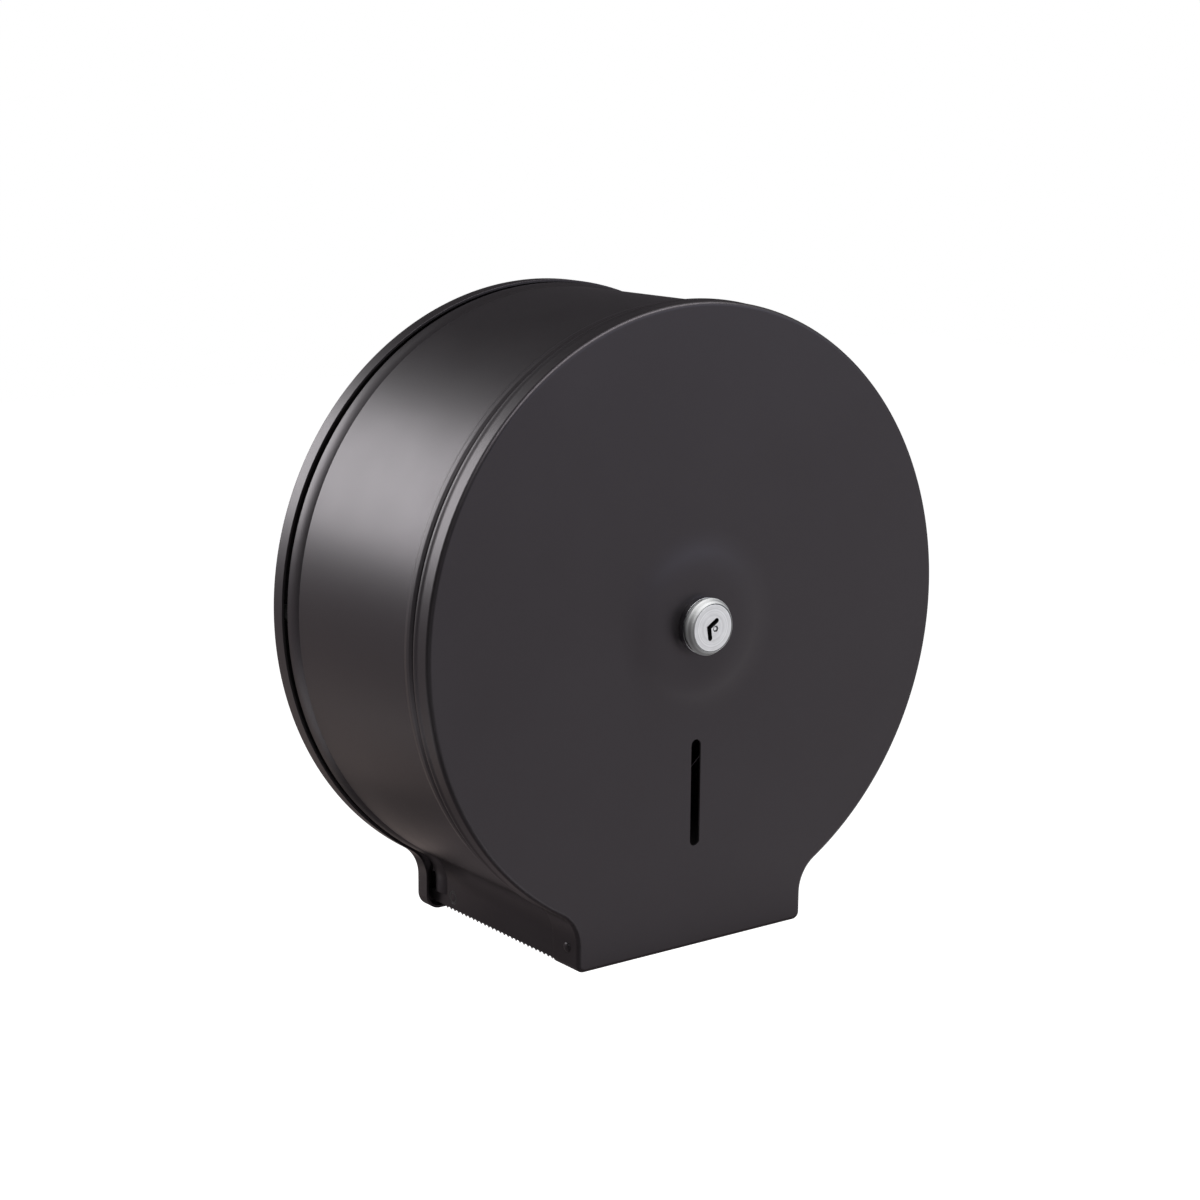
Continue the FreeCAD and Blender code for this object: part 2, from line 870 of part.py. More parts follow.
def lock_cam():
    """Flat cam that points to the right when the cover is free."""
    half = cam_width / 2
    tip = cam_reach - half
    hub = rod(cam_radius, cam_rear, cam_front)
    bar = block(0.0, tip, cam_rear, cam_front, -half, half)
    end = rod(half, cam_rear, cam_front, tip)
    side = plug_tail / 2 + running_fit
    hole = block(-side, side, cam_rear - overrun, cam_front + overrun, -side, side)
    return fused([hub, bar, end]).cut(hole)


def cam_washer():
    """Washer between the cam and its screw."""
    return ring(cam_washer_radius, cam_screw_radius + thread_gap, cam_washer_rear, cam_rear)


def cam_screw():
    """Screw that holds the cam on the plug."""
    head = rod(cam_screw_head, cam_screw_rear, cam_washer_rear)
    shank = rod(cam_screw_radius, cam_washer_rear, cam_rear + cam_screw_length)
    side = cam_screw_head + overrun
    half = drive_slot_width / 2
    slot = block(-side, side, cam_screw_rear - overrun, cam_screw_rear + drive_slot_depth, -half, half)
    return fused([head, shank]).cut(slot)


def pieces():
    """Every piece of the dispenser, by the name of its node."""
    return {
        "back_plate": back_plate(),
        "hinge_ear_right": hinge_ear(),
        "hinge_ear_left": mirrored(hinge_ear()),
        "hinge_ear_rivets": hinge_ear_rivets(),
        "hinge_pin_right": hinge_pin(),
        "hinge_pin_left": mirrored(hinge_pin()),
        "spindle_flange": spindle_flange(),
        "spindle_rivets": spindle_rivets(),
        "spindle_tube": spindle_tube(),
        "hub_spacer": hub_spacer(),
        "hub_retainer": hub_retainer(),
        "lock_keeper": lock_keeper(),
        "keeper_screws": keeper_screws(),
        "cover_buffers": cover_buffers(),
        "roll_hub": roll_hub(),
        "cover_face": cover_face(),
        "cover_band": cover_band(),
        "face_rivets": face_rivets(),
        "tear_blade_right": tear_blade(),
        "tear_blade_left": mirrored(tear_blade()),
        "hinge_bush_right": hinge_bush(),
        "hinge_bush_left": mirrored(hinge_bush()),
        "lock_body": lock_body(),
        "lock_trim_ring": lock_trim_ring(),
        "lock_washer": lock_washer(),
        "lock_nut": lock_nut(),
        "lock_plug": lock_plug(),
        "lock_cam": lock_cam(),
        "cam_washer": cam_washer(),
        "cam_screw": cam_screw(),
    }


os.makedirs("parts", exist_ok=True)
for name, shape in pieces().items():
    shape.exportStep(os.path.join("parts", name + ".step"))
    state = "valid" if shape.isValid() else "BROKEN"
    print(name, len(shape.Solids), "solid", round(shape.Volume, 1), "mm3", state)
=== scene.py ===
"""Looks of a wall-mounted drum dispenser for one large roll of paper.

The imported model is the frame. Each piece is built at its place in that frame and rides on the
body that carries it. Sizes in the classes are in millimetres; a depth is a distance in front of
the wall, which is the plane y = 0.
"""

import json
import logging
import math
from dataclasses import dataclass, field
from enum import Enum, IntEnum
from typing import Sequence

import bmesh
import bpy
from mathutils import Matrix, Vector
from mathutils.geometry import delaunay_2d_cdt

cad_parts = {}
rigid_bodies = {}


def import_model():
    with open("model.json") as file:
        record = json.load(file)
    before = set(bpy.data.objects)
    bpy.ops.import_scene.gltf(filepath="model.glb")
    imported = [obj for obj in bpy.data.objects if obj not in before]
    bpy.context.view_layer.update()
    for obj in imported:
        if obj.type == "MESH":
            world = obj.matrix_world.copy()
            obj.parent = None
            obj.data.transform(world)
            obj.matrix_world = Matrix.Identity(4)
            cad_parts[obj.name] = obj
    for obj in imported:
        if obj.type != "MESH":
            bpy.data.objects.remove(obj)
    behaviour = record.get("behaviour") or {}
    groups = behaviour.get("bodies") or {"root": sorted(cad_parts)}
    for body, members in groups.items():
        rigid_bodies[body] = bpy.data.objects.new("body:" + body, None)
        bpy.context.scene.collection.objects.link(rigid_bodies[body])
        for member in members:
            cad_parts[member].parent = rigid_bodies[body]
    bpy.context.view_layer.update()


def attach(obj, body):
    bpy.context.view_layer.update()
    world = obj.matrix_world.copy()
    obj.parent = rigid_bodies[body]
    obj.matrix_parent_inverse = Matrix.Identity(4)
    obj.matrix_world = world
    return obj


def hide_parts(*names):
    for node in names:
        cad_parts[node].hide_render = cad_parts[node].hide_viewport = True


log = logging.getLogger("dispenser")

MM = 0.001
SIDES = {"left": -1, "right": 1}
FULL_TURN = 2 * math.pi
FRONT = Vector((0.0, -1.0, 0.0))
UP = Vector((0.0, 0.0, 1.0))
WHITE = (1.0, 1.0, 1.0, 1.0)

# Shares of the mottle between which a finish goes from its shade to its tone.
MOTTLE_ENDS = (0.3, 0.7)

# Faces along the disc's half circle, a small rounding and a shallow curve.
DISC_STEPS = 110
ROUND_STEPS = 12
CURVE_STEPS = 10

# Half angle of a corner that counts as straight, and the share of a side that a rounding may take.
STRAIGHT_HALF = math.radians(89.5)
RUN_SHARE = 0.48

# Sizes that several assemblies share.
HINGE_DEPTH = 23.0
HINGE_Z = -135.994
BLADE_INSIDE = 58.4
LOCK_HOLE = 8.1
SPINDLE_RIVET = 2.0
SPINDLE_RIVETS = tuple((x * 17.678, z * 17.678) for x, z in ((1, 1), (-1, 1), (-1, -1), (1, -1)))

Flat = tuple[float, float]
Triple = tuple[float, float, float]
Socket = bpy.types.NodeSocket
Thing = bpy.types.Object


class Body(Enum):
    """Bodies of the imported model."""

    BACK = "back"
    HUB = "hub"
    COVER = "cover"
    LOCK = "lock"


class Slot(Enum):
    """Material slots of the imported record."""

    BLACK_PAINT = "black_paint"
    LOCK_METAL = "lock_metal"
    BRIGHT_TRIM = "bright_trim"
    ZINC_STEEL = "zinc_steel"
    BLADE_STEEL = "blade_steel"
    GREY_PLASTIC = "grey_plastic"
    WHITE_NYLON = "white_nylon"
    BLACK_NYLON = "black_nylon"
    BLACK_RUBBER = "black_rubber"


class Grain(Enum):
    """Ways in which a surface is broken up."""

    PEEL = "sprayed paint"
    TURNED = "rings left by the lathe"
    DRAWN = "lines along the sheet"
    SPANGLED = "plated crystals"
    MOULDED = "fine moulded texture"


class Facets(IntEnum):
    """Facets round a turned piece or a hole."""

    RIVET = 32
    SMALL = 40
    SCREW = 48
    RING = 72
    HUB = 96
    PLUG = 128
    HEAD = 144
    BOSS = 160


class Nodes:
    """Adds nodes to a tree, and sets or links their inputs."""

    def __init__(self, tree: bpy.types.NodeTree) -> None:
        """Starts on a material's, the world's or a geometry tree."""
        self.tree = tree

    def add(self, kind: str, inputs: dict | None = None, **settings: object) -> bpy.types.Node:
        """Adds one node.

        Args:
            kind: Blender's name of the node type.
            inputs: values or sockets for the node's inputs, by name or index.
            settings: attributes of the node itself.

        Returns:
            The new node.
        """
        node = self.tree.nodes.new(kind)
        for name, value in settings.items():
            setattr(node, name, value)
        for key, value in (inputs or {}).items():
            self.feed(node.inputs[key], value)
        return node

    def out(
        self, kind: str, inputs: dict | None = None, output: int | str = 0, **settings: object
    ) -> Socket:
        """One output of a new node, which is added as by add."""
        return self.add(kind, inputs, **settings).outputs[output]

    def feed(self, socket: Socket, value: object) -> None:
        """Links or sets an input.

        Args:
            socket: the input.
            value: a socket, or a list of them, to link into it; or else its plain value.
        """
        if isinstance(value, Socket):
            self.tree.links.new(value, socket)
        elif isinstance(value, list):
            for source in value:
                self.tree.links.new(source, socket)
        else:
            socket.default_value = value

    def sum(self, operation: str, first: object, second: object) -> Socket:
        """The result of one arithmetic step on two numbers or sockets."""
        return self.out("ShaderNodeMath", {0: first, 1: second}, operation=operation)


def blank_material(name: str) -> tuple[bpy.types.Material, Nodes]:
    """Makes a material with an empty tree.

    Args:
        name: the material's name.

    Returns:
        The material and its nodes.
    """
    material = bpy.data.materials.new(name)
    material.use_nodes = True
    material.node_tree.nodes.clear()
    return material, Nodes(material.node_tree)


@dataclass(frozen=True)
class Finish:
    """A finish: two tones, a range of roughness and the grain that breaks it up.

    Lengths are in metres here, as they go straight into the material's nodes.
    """

    slot: Slot
    grain: Grain
    tone: Triple
    shade: Triple
    roughness: Flat
    grain_size: float
    grain_height: float
    patch_size: float
    metallic: float = 0.0
    grain_share: float = 0.3
    specular: float = 0.5
    tint: Triple = (1.0, 1.0, 1.0)
    part: str = ""

    def material(self) -> bpy.types.Material:
        """Makes the finish's material the first time it is asked for.

        Returns:
            The node material.
        """
        name = f"finish_{self.slot.value}{self.part}"
        known = bpy.data.materials.get(name)
        if known:
            return known
        material, nodes = blank_material(name)
        place = nodes.out("ShaderNodeTexCoord", output="Object")
        grain = self.relief(nodes, place)
        cloud = {"Vector": place, "Scale": 1.0 / self.patch_size, "Detail": 4.0, "Roughness": 0.6}
        patch = nodes.out("ShaderNodeTexNoise", cloud, "Fac")
        mottle = nodes.sum(
            "ADD",
            nodes.sum("MULTIPLY", patch, 1.0 - self.grain_share),
            nodes.sum("MULTIPLY", grain, self.grain_share),
        )
        ramp = nodes.add("ShaderNodeValToRGB", {"Fac": mottle})
        for stop, level, colour in zip(ramp.color_ramp.elements, MOTTLE_ENDS, (self.shade, self.tone)):
            stop.position = level
            stop.color = (*colour, 1.0)
        gloss = {"Value": mottle, "From Min": MOTTLE_ENDS[0], "From Max": MOTTLE_ENDS[1]}
        gloss["To Min"], gloss["To Max"] = self.roughness
        bump = {"Height": grain, "Strength": 1.0, "Distance": self.grain_height}
        shader = nodes.out(
            "ShaderNodeBsdfPrincipled",
            {
                "Base Color": ramp.outputs["Color"],
                "Roughness": nodes.out("ShaderNodeMapRange", gloss, "Result"),
                "Normal": nodes.out("ShaderNodeBump", bump, "Normal"),
                "Metallic": self.metallic,
                "Specular IOR Level": self.specular,
                "Specular Tint": (*self.tint, 1.0),
            },
            "BSDF",
        )
        nodes.add("ShaderNodeOutputMaterial", {"Surface": shader})
        return material

    def relief(self, nodes: Nodes, place: Socket) -> Socket:
        """Adds the nodes of the grain.

        Args:
            nodes: the material's tree.
            place: the Object coordinates.

        Returns:
            A height between 0 and 1.
        """
        noise = {"Vector": place, "Scale": 1.0 / self.grain_size, "Detail": 5.0}
        if self.grain is Grain.SPANGLED:
            cells = {"Vector": place, "Scale": 1.0 / self.grain_size, "Randomness": 1.0}
            colour = nodes.out("ShaderNodeTexVoronoi", cells, "Color")
            return nodes.out("ShaderNodeSeparateColor", {"Color": colour}, "Red")
        if self.grain is Grain.TURNED:
            across = nodes.out("ShaderNodeVectorMath", {0: place, 1: (1.0, 0.0, 1.0)}, operation="MULTIPLY")
            radius = nodes.out("ShaderNodeVectorMath", {0: across}, "Value", operation="LENGTH")
            rings = {"W": radius, "Scale": 1.0 / self.grain_size, "Detail": 3.0, "Roughness": 0.7}
            return nodes.out("ShaderNodeTexNoise", rings, "Fac", noise_dimensions="1D")
        if self.grain is Grain.DRAWN:
            noise["Vector"] = nodes.out(
                "ShaderNodeVectorMath", {0: place, 1: (1.0, 0.03, 1.0)}, operation="MULTIPLY"
            )
            noise["Detail"] = 3.0
        if self.grain is Grain.PEEL:
            noise["Detail"] = 2.0
        return nodes.out("ShaderNodeTexNoise", noise, "Fac")


BLACK_PAINT = Finish(
    Slot.BLACK_PAINT, Grain.PEEL, (0.0105, 0.0095, 0.0100), (0.0080, 0.0072, 0.0076),
    (0.34, 0.40), 0.0011, 0.000004, 0.05, specular=0.44, tint=(1.0, 0.90, 0.995),
)
# Darker copy of the lock metal for the head and its thread, so that the bevel looks shaded: painted shade.
SHADED_HEAD_METAL = Finish(
    Slot.LOCK_METAL, Grain.TURNED, (0.56, 0.565, 0.565), (0.30, 0.303, 0.303),
    (0.54, 0.68), 0.0008, 0.000014, 0.006, metallic=1.0, grain_share=0.8, part="_head",
)
LOCK_METAL = Finish(
    Slot.LOCK_METAL, Grain.TURNED, (0.80, 0.81, 0.81), (0.52, 0.53, 0.527),
    (0.38, 0.50), 0.0010, 0.000012, 0.006, metallic=1.0, grain_share=0.75,
)
# Nearly black finish for the keyway's inside faces: painted shade in the recess, on the same lock metal.
KEYWAY_SHADE_PAINT = Finish(
    Slot.LOCK_METAL, Grain.MOULDED, (0.012, 0.012, 0.012), (0.006, 0.006, 0.006),
    (0.55, 0.70), 0.0004, 0.000006, 0.004, specular=0.2, part="_keyway",
)
BLADE_STEEL = Finish(
    Slot.BLADE_STEEL, Grain.DRAWN, (0.58, 0.58, 0.59), (0.40, 0.40, 0.41),
    (0.30, 0.45), 0.0003, 0.000006, 0.01, metallic=1.0,
)
# Polished collar metal with its tones lowered so that it looks dark beside the head: painted shade.
BRIGHT_TRIM = Finish(
    Slot.BRIGHT_TRIM, Grain.TURNED, (0.40, 0.40, 0.41), (0.30, 0.30, 0.31),
    (0.10, 0.18), 0.00010, 0.000002, 0.004, metallic=1.0,
)
ZINC_STEEL = Finish(
    Slot.ZINC_STEEL, Grain.SPANGLED, (0.60, 0.61, 0.63), (0.44, 0.45, 0.47),
    (0.28, 0.42), 0.0016, 0.000003, 0.012, metallic=1.0,
)
GREY_PLASTIC = Finish(
    Slot.GREY_PLASTIC, Grain.MOULDED, (0.36, 0.37, 0.38), (0.31, 0.32, 0.33),
    (0.42, 0.55), 0.0005, 0.000008, 0.02,
)
WHITE_NYLON = Finish(
    Slot.WHITE_NYLON, Grain.MOULDED, (0.80, 0.79, 0.75), (0.73, 0.72, 0.68),
    (0.38, 0.50), 0.0006, 0.000006, 0.01,
)
BLACK_NYLON = Finish(
    Slot.BLACK_NYLON, Grain.MOULDED, (0.022, 0.022, 0.023), (0.015, 0.015, 0.016),
    (0.42, 0.52), 0.0004, 0.000006, 0.01,
)
BLACK_RUBBER = Finish(
    Slot.BLACK_RUBBER, Grain.MOULDED, (0.010, 0.010, 0.010), (0.006, 0.006, 0.006),
    (0.70, 0.85), 0.0004, 0.000010, 0.008, specular=0.25,
)


@dataclass(frozen=True)
class Axle:
    """A line that round pieces are turned about: straight out of the wall, or along X."""

    x: float = 0.0
    depth: float = 0.0
    z: float = 0.0
    side: int = 0

    def point(self, radius: float, along: float, angle: float) -> Vector:
        """A point of a turned piece.

        Args:
            radius: distance from the axle.
            along: depth in front of the wall, or distance from the middle plane.
            angle: turn about the axle, in radians.

        Returns:
            The point in metres.
        """
        a, b = radius * math.cos(angle), radius * math.sin(angle)
        if self.side:
            return Vector((self.side * along, a - self.depth, self.z + b)) * MM
        return Vector((self.x + a, -along, self.z + b)) * MM


@dataclass(frozen=True)
class Station:
    """A place on an outline, with the direction that points out of it."""

    x: float
    z: float
    nx: float
    nz: float

    def at(self, depth: float, inset: float = 0.0) -> Vector:
        """The point at a depth, moved inwards by an inset, in metres."""
        return Vector((self.x - self.nx * inset, -depth, self.z - self.nz * inset)) * MM

    def flat(self, inset: float) -> Flat:
        """The place moved inwards by an inset, as x and z in millimetres."""
        return (self.x - self.nx * inset, self.z - self.nz * inset)

    def flipped(self) -> "Station":
        """The same place on the left side."""
        return Station(-self.x, self.z, -self.nx, self.nz)


def spread(start: float, sweep: float, steps: int) -> list[float]:
    """Evenly spread angles from a start through a sweep, with both ends."""
    return [start + sweep * i / steps for i in range(steps + 1)]


def arc(x: float, z: float, radius: float, start: float, sweep: float, steps: int) -> list[Flat]:
    """Points along an arc round a centre, with both ends."""
    return [(x + radius * math.cos(a), z + radius * math.sin(a)) for a in spread(start, sweep, steps)]


def circle(radius: float, count: int, x: float = 0.0, z: float = 0.0) -> list[Flat]:
    """Points of a circle as x and z."""
    return arc(x, z, radius, 0.0, FULL_TURN, count)[:-1]


@dataclass(frozen=True)
class Outline:
    """A disc with a foot, seen from the front."""

    radius: float
    half_width: float
    bottom: float
    fillet: float
    corner: float

    def inset(self, by: float) -> "Outline":
        """The outline that runs inside this one at an even distance."""
        radius, half_width, bottom = self.radius - by, self.half_width - by, self.bottom - by
        return Outline(radius, half_width, bottom, self.fillet + by, self.corner - by)

    def fillet_centre(self) -> Flat:
        """Centre of the hollow rounding on the right, as x and z."""
        across, reach = self.half_width + self.fillet, self.radius + self.fillet
        return across, -math.sqrt(reach * reach - across * across)

    def upper(self, break_z: float) -> list[Station]:
        """Places from the top of the disc to the end of the hollow rounding.

        Args:
            break_z: a height on the hollow rounding that gets a place of its own.

        Returns:
            The places of the right side.
        """
        cx, cz = self.fillet_centre()
        turn = math.atan2(-cz, cx)
        found = []
        for angle in spread(math.pi / 2, -math.pi / 2 - turn, DISC_STEPS):
            nx, nz = math.cos(angle), math.sin(angle)
            found.append(Station(self.radius * nx, self.radius * nz, nx, nz))
        middle = math.pi - math.asin((break_z - cz) / self.fillet)
        for start, end in ((math.pi - turn, middle), (middle, math.pi)):
            for angle in spread(start, end - start, ROUND_STEPS)[1:]:
                nx, nz = -math.cos(angle), -math.sin(angle)
                found.append(Station(cx - self.fillet * nx, cz - self.fillet * nz, nx, nz))
        return found

    def loop(self, break_z: float) -> list[Station]:
        """Places all round the closed outline, from the top to the right.

        Args:
            break_z: a height on the hollow rounding that gets a place of its own.

        Returns:
            The places of both sides.
        """
        half = self.upper(break_z)
        inner, low = self.half_width - self.corner, self.corner - self.bottom
        for angle in spread(0.0, -math.pi / 2, ROUND_STEPS):
            nx, nz = math.cos(angle), math.sin(angle)
            half.append(Station(inner + self.corner * nx, low + self.corner * nz, nx, nz))
        return half + [place.flipped() for place in reversed(half[1:])]

    def wall_run(self, low: float, break_z: float) -> list[Station]:
        """Places along the open outline, over the top from one wall's low end to the other's.

        Args:
            low: height of the walls' low ends.
            break_z: a height on the hollow rounding that gets a place of its own.

        Returns:
            The places from the right wall to the left.
        """
        half = [*self.upper(break_z), Station(self.half_width, low, 1.0, 0.0)]
        return list(reversed(half)) + [place.flipped() for place in half[1:]]


def rolled_edge(
    loop: Sequence[Station], radius: float, face: float, way: int, steps: int
) -> list[list[Vector]]:
    """Rows of points that lead from a flat face round its edge to the start of the rim.

    Args:
        loop: the outline of the rim.
        radius: rounding of the edge.
        face: depth of the face.
        way: 1 for a rim in front of the face, -1 for one behind it.
        steps: faces across the rounding.

    Returns:
        The rows.
    """
    rows = []
    for angle in spread(0.0, math.pi / 2, steps):
        depth = face + way * radius * (1 - math.cos(angle))
        rows.append([place.at(depth, radius * (1 - math.sin(angle))) for place in loop])
    return rows


def softened(points: Sequence[Flat], radii: Sequence[float], steps: int = 5) -> list[Flat]:
    """Rounds the corners of a closed flat outline.

    Args:
        points: the corners in order.
        radii: the rounding of each corner; zero leaves it sharp.
        steps: points added along each rounding.

    Returns:
        The outline with its roundings.
    """
    result = []
    count = len(points)
    for i, radius in enumerate(radii):
        here = Vector(points[i])
        before, after = Vector(points[i - 1]) - here, Vector(points[(i + 1) % count]) - here
        half = before.angle(after) / 2
        if radius <= 0.0 or half > STRAIGHT_HALF:
            result.append(tuple(here))
            continue
        run = min(radius / math.tan(half), RUN_SHARE * before.length, RUN_SHARE * after.length)
        start, end = here + before.normalized() * run, here + after.normalized() * run
        for k in range(steps + 1):
            t = k / steps
            result.append(tuple(start * (1 - t) ** 2 + here * 2 * t * (1 - t) + end * t * t))
    return result


def eased_share(share: float) -> float:
    """A share kept between 0 and 1, with a soft start and end."""
    kept = min(1.0, max(0.0, share))
    return kept * kept * (3 - 2 * kept)


def encloses(loop: Sequence[Flat], x: float, z: float) -> bool:
    """Tells whether a flat loop goes round a point.

    Args:
        loop: points of the closed loop.
        x: the point's place across.
        z: the point's height.

    Returns:
        True for a point inside.
    """
    inside = False
    for (x1, z1), (x2, z2) in zip(loop, [*loop[1:], loop[0]]):
        if (z1 > z) != (z2 > z) and x < x1 + (z - z1) / (z2 - z1) * (x2 - x1):
            inside = not inside
    return inside


def linked(name: str, data: bpy.types.ID) -> Thing:
    """Makes an object in the scene.

    Args:
        name: the object's name.
        data: its mesh, lamp or camera.

    Returns:
        The object, at the origin.
    """
    made = bpy.data.objects.new(name, data)
    bpy.context.scene.collection.objects.link(made)
    return made


class Sketch:
    """The faces of one piece, gathered before they become an object."""

    def __init__(self) -> None:
        """Starts with no faces."""
        self.mesh = bmesh.new()

    def sheet(self, rows: Sequence[Sequence[Vector]], around: bool = False, along: bool = False) -> None:
        """Adds a sheet of quads.

        Args:
            rows: rows of points, all of one length.
            around: joins the end of each row to its start.
            along: joins the last row to the first.
        """
        verts = [[self.mesh.verts.new(point) for point in row] for row in rows]
        count = len(rows[0])
        pairs = list(zip(verts, verts[1:])) + ([(verts[-1], verts[0])] if along else [])
        for low, high in pairs:
            for i in range(count if around else count - 1):
                j = (i + 1) % count
                self.mesh.faces.new((low[i], low[j], high[j], high[i]))

    def lathe(self, profile: Sequence[Flat], axle: Axle, count: int) -> None:
        """Turns a closed profile of radius and place along the axle into a number of facets."""
        angles = spread(0.0, FULL_TURN, count)[:-1]
        self.sheet([[axle.point(r, along, a) for r, along in profile] for a in angles], True, True)

    def fill(self, outer: Sequence[Flat], holes: Sequence[Sequence[Flat]], depth: float) -> None:
        """Adds a flat face.

        Args:
            outer: its outer loop.
            holes: loops of its holes.
            depth: the depth that it lies at.
        """
        points, edges = [], []
        for loop in [outer, *holes]:
            first, count = len(points), len(loop)
            points += [Vector(point) for point in loop]
            edges += [(first + i, first + (i + 1) % count) for i in range(count)]
        found = delaunay_2d_cdt(points, edges, [], 1, 1e-5)
        verts = [self.mesh.verts.new(Vector((p.x, -depth, p.y)) * MM) for p in found[0]]
        for face in found[2]:
            middle = sum((found[0][i] for i in face), Vector((0.0, 0.0))) / len(face)
            if not any(encloses(hole, middle.x, middle.y) for hole in holes):
                self.mesh.faces.new([verts[i] for i in face])

    def prism(
        self, outer: Sequence[Flat], holes: Sequence[Sequence[Flat]], start: float, end: float
    ) -> None:
        """Adds a plate with holes.

        Args:
            outer: its outer loop.
            holes: loops of its holes.
            start: depth of one face.
            end: depth of the other.
        """
        for depth in (start, end):
            self.fill(outer, holes, depth)
        for loop in [outer, *holes]:
            rows = [[Vector((x, -depth, z)) * MM for x, z in loop] for depth in (start, end)]
            self.sheet(rows, around=True)

    def block(self, low: Triple, high: Triple) -> None:
        """Adds a box between two corners in millimetres, as x, depth and z."""
        (x1, depth1, z1), (x2, depth2, z2) = low, high
        self.prism([(x1, z1), (x2, z1), (x2, z2), (x1, z2)], [], depth1, depth2)

    def ends(self, rows: Sequence[Sequence[Vector]]) -> None:
        """Closes both ends of a swept section."""
        for row in (rows[0], rows[-1]):
            self.mesh.faces.new([self.mesh.verts.new(point) for point in row])

    def piece(self, name: str, outward: Vector | None = None) -> Thing:
        """Makes the object.

        Args:
            name: the object's name.
            outward: for an open skin, the way its first face looks.

        Returns:
            The object, at the origin.
        """
        bmesh.ops.remove_doubles(self.mesh, verts=self.mesh.verts[:], dist=2e-7)
        bmesh.ops.recalc_face_normals(self.mesh, faces=self.mesh.faces[:])
        self.mesh.faces.ensure_lookup_table()
        self.mesh.normal_update()
        if outward and self.mesh.faces[0].normal.dot(outward) < 0.0:
            bmesh.ops.reverse_faces(self.mesh, faces=self.mesh.faces[:])
        data = bpy.data.meshes.new(name)
        self.mesh.to_mesh(data)
        self.mesh.free()
        return linked(name, data)


def settled(piece: Thing) -> Thing:
    """Turns a piece with its modifiers into one plain mesh.

    Args:
        piece: the object.

    Returns:
        The same object.
    """
    bpy.context.view_layer.update()
    graph = bpy.context.evaluated_depsgraph_get()
    made = bpy.data.meshes.new_from_object(piece.evaluated_get(graph), depsgraph=graph)
    old = piece.data
    piece.modifiers.clear()
    piece.data = made
    bpy.data.meshes.remove(old)
    made.name = piece.name
    return piece


def changed(piece: Thing, kind: str, **settings: object) -> Thing:
    """Runs one modifier on a piece.

    Args:
        piece: the object.
        kind: Blender's name of the modifier type.
        settings: attributes of the modifier.

    Returns:
        The same object with a plain mesh.
    """
    change = piece.modifiers.new("change", kind)
    for name, value in settings.items():
        setattr(change, name, value)
    return settled(piece)


def shaded(piece: Thing, sharp: float = 50.0) -> Thing:
    """Shades a piece smoothly, keeping its flats flat and its sharp edges sharp.

    Args:
        piece: the object.
        sharp: edges sharper than this stay sharp, in degrees.

    Returns:
        The same object.
    """
    piece.data.shade_smooth()
    piece.data.set_sharp_from_angle(angle=math.radians(sharp))
    return changed(piece, "WEIGHTED_NORMAL", mode="FACE_AREA", weight=80, keep_sharp=True)


def eased(piece: Thing, width: float, steps: int = 2, angle: float = 40.0) -> Thing:
    """Breaks the sharp edges of a piece.

    Args:
        piece: the object.
        width: width of the broken edge, in millimetres.
        steps: faces across it.
        angle: edges sharper than this are broken, in degrees.

    Returns:
        The same object with a plain mesh.
    """
    return changed(
        piece, "BEVEL", limit_method="ANGLE", angle_limit=math.radians(angle), width=width * MM,
        segments=steps, use_clamp_overlap=False,
    )


def thickened(piece: Thing, sheet: float) -> Thing:
    """Gives an open skin the thickness of its sheet, inwards."""
    return changed(piece, "SOLIDIFY", thickness=sheet * MM, offset=-1.0, use_even_offset=True)


def cut(piece: Thing, tool: Thing, operation: str = "DIFFERENCE") -> Thing:
    """Cuts a tool out of a piece, or joins it on, and removes the tool.

    Args:
        piece: the object.
        tool: what is cut out or joined on.
        operation: Blender's name of the operation.

    Returns:
        The piece with a plain mesh.
    """
    changed(piece, "BOOLEAN", operation=operation, solver="EXACT", object=tool)
    bpy.data.objects.remove(tool)
    return piece


def flattened(piece: Thing) -> Thing:
    """Merges the doubled points of a piece and joins up its flat faces.

    Args:
        piece: the object.

    Returns:
        The same object.
    """
    work = bmesh.new()
    work.from_mesh(piece.data)
    bmesh.ops.remove_doubles(work, verts=work.verts[:], dist=1e-6)
    flat = math.radians(0.5)
    bmesh.ops.dissolve_limit(
        work, angle_limit=flat, verts=work.verts[:], edges=work.edges[:], use_dissolve_boundaries=False
    )
    work.to_mesh(piece.data)
    work.free()
    return piece


def copied(node: str, name: str) -> Thing:
    """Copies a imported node's mesh and joins up its flat faces.

    Args:
        node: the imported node.
        name: the copy's name.

    Returns:
        The copy.
    """
    data = bpy.data.objects[node].data.copy()
    data.name = name
    data.materials.clear()
    return flattened(linked(name, data))


def carried(piece: Thing, body: Body, finish: Finish, *nodes: str) -> None:
    """Dresses a piece, unless its tree has done so, and puts it on its body.

    Args:
        piece: the finished object.
        body: the body that it rides on.
        finish: what it is finished in.
        nodes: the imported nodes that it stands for.
    """
    if not piece.data.materials:
        piece.data.materials.append(finish.material())
    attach(piece, body.value)
    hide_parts(*nodes)
    faces = len(piece.data.polygons)
    log.info("%s rides on %s in %s: %d faces", piece.name, body.value, finish.slot.value, faces)


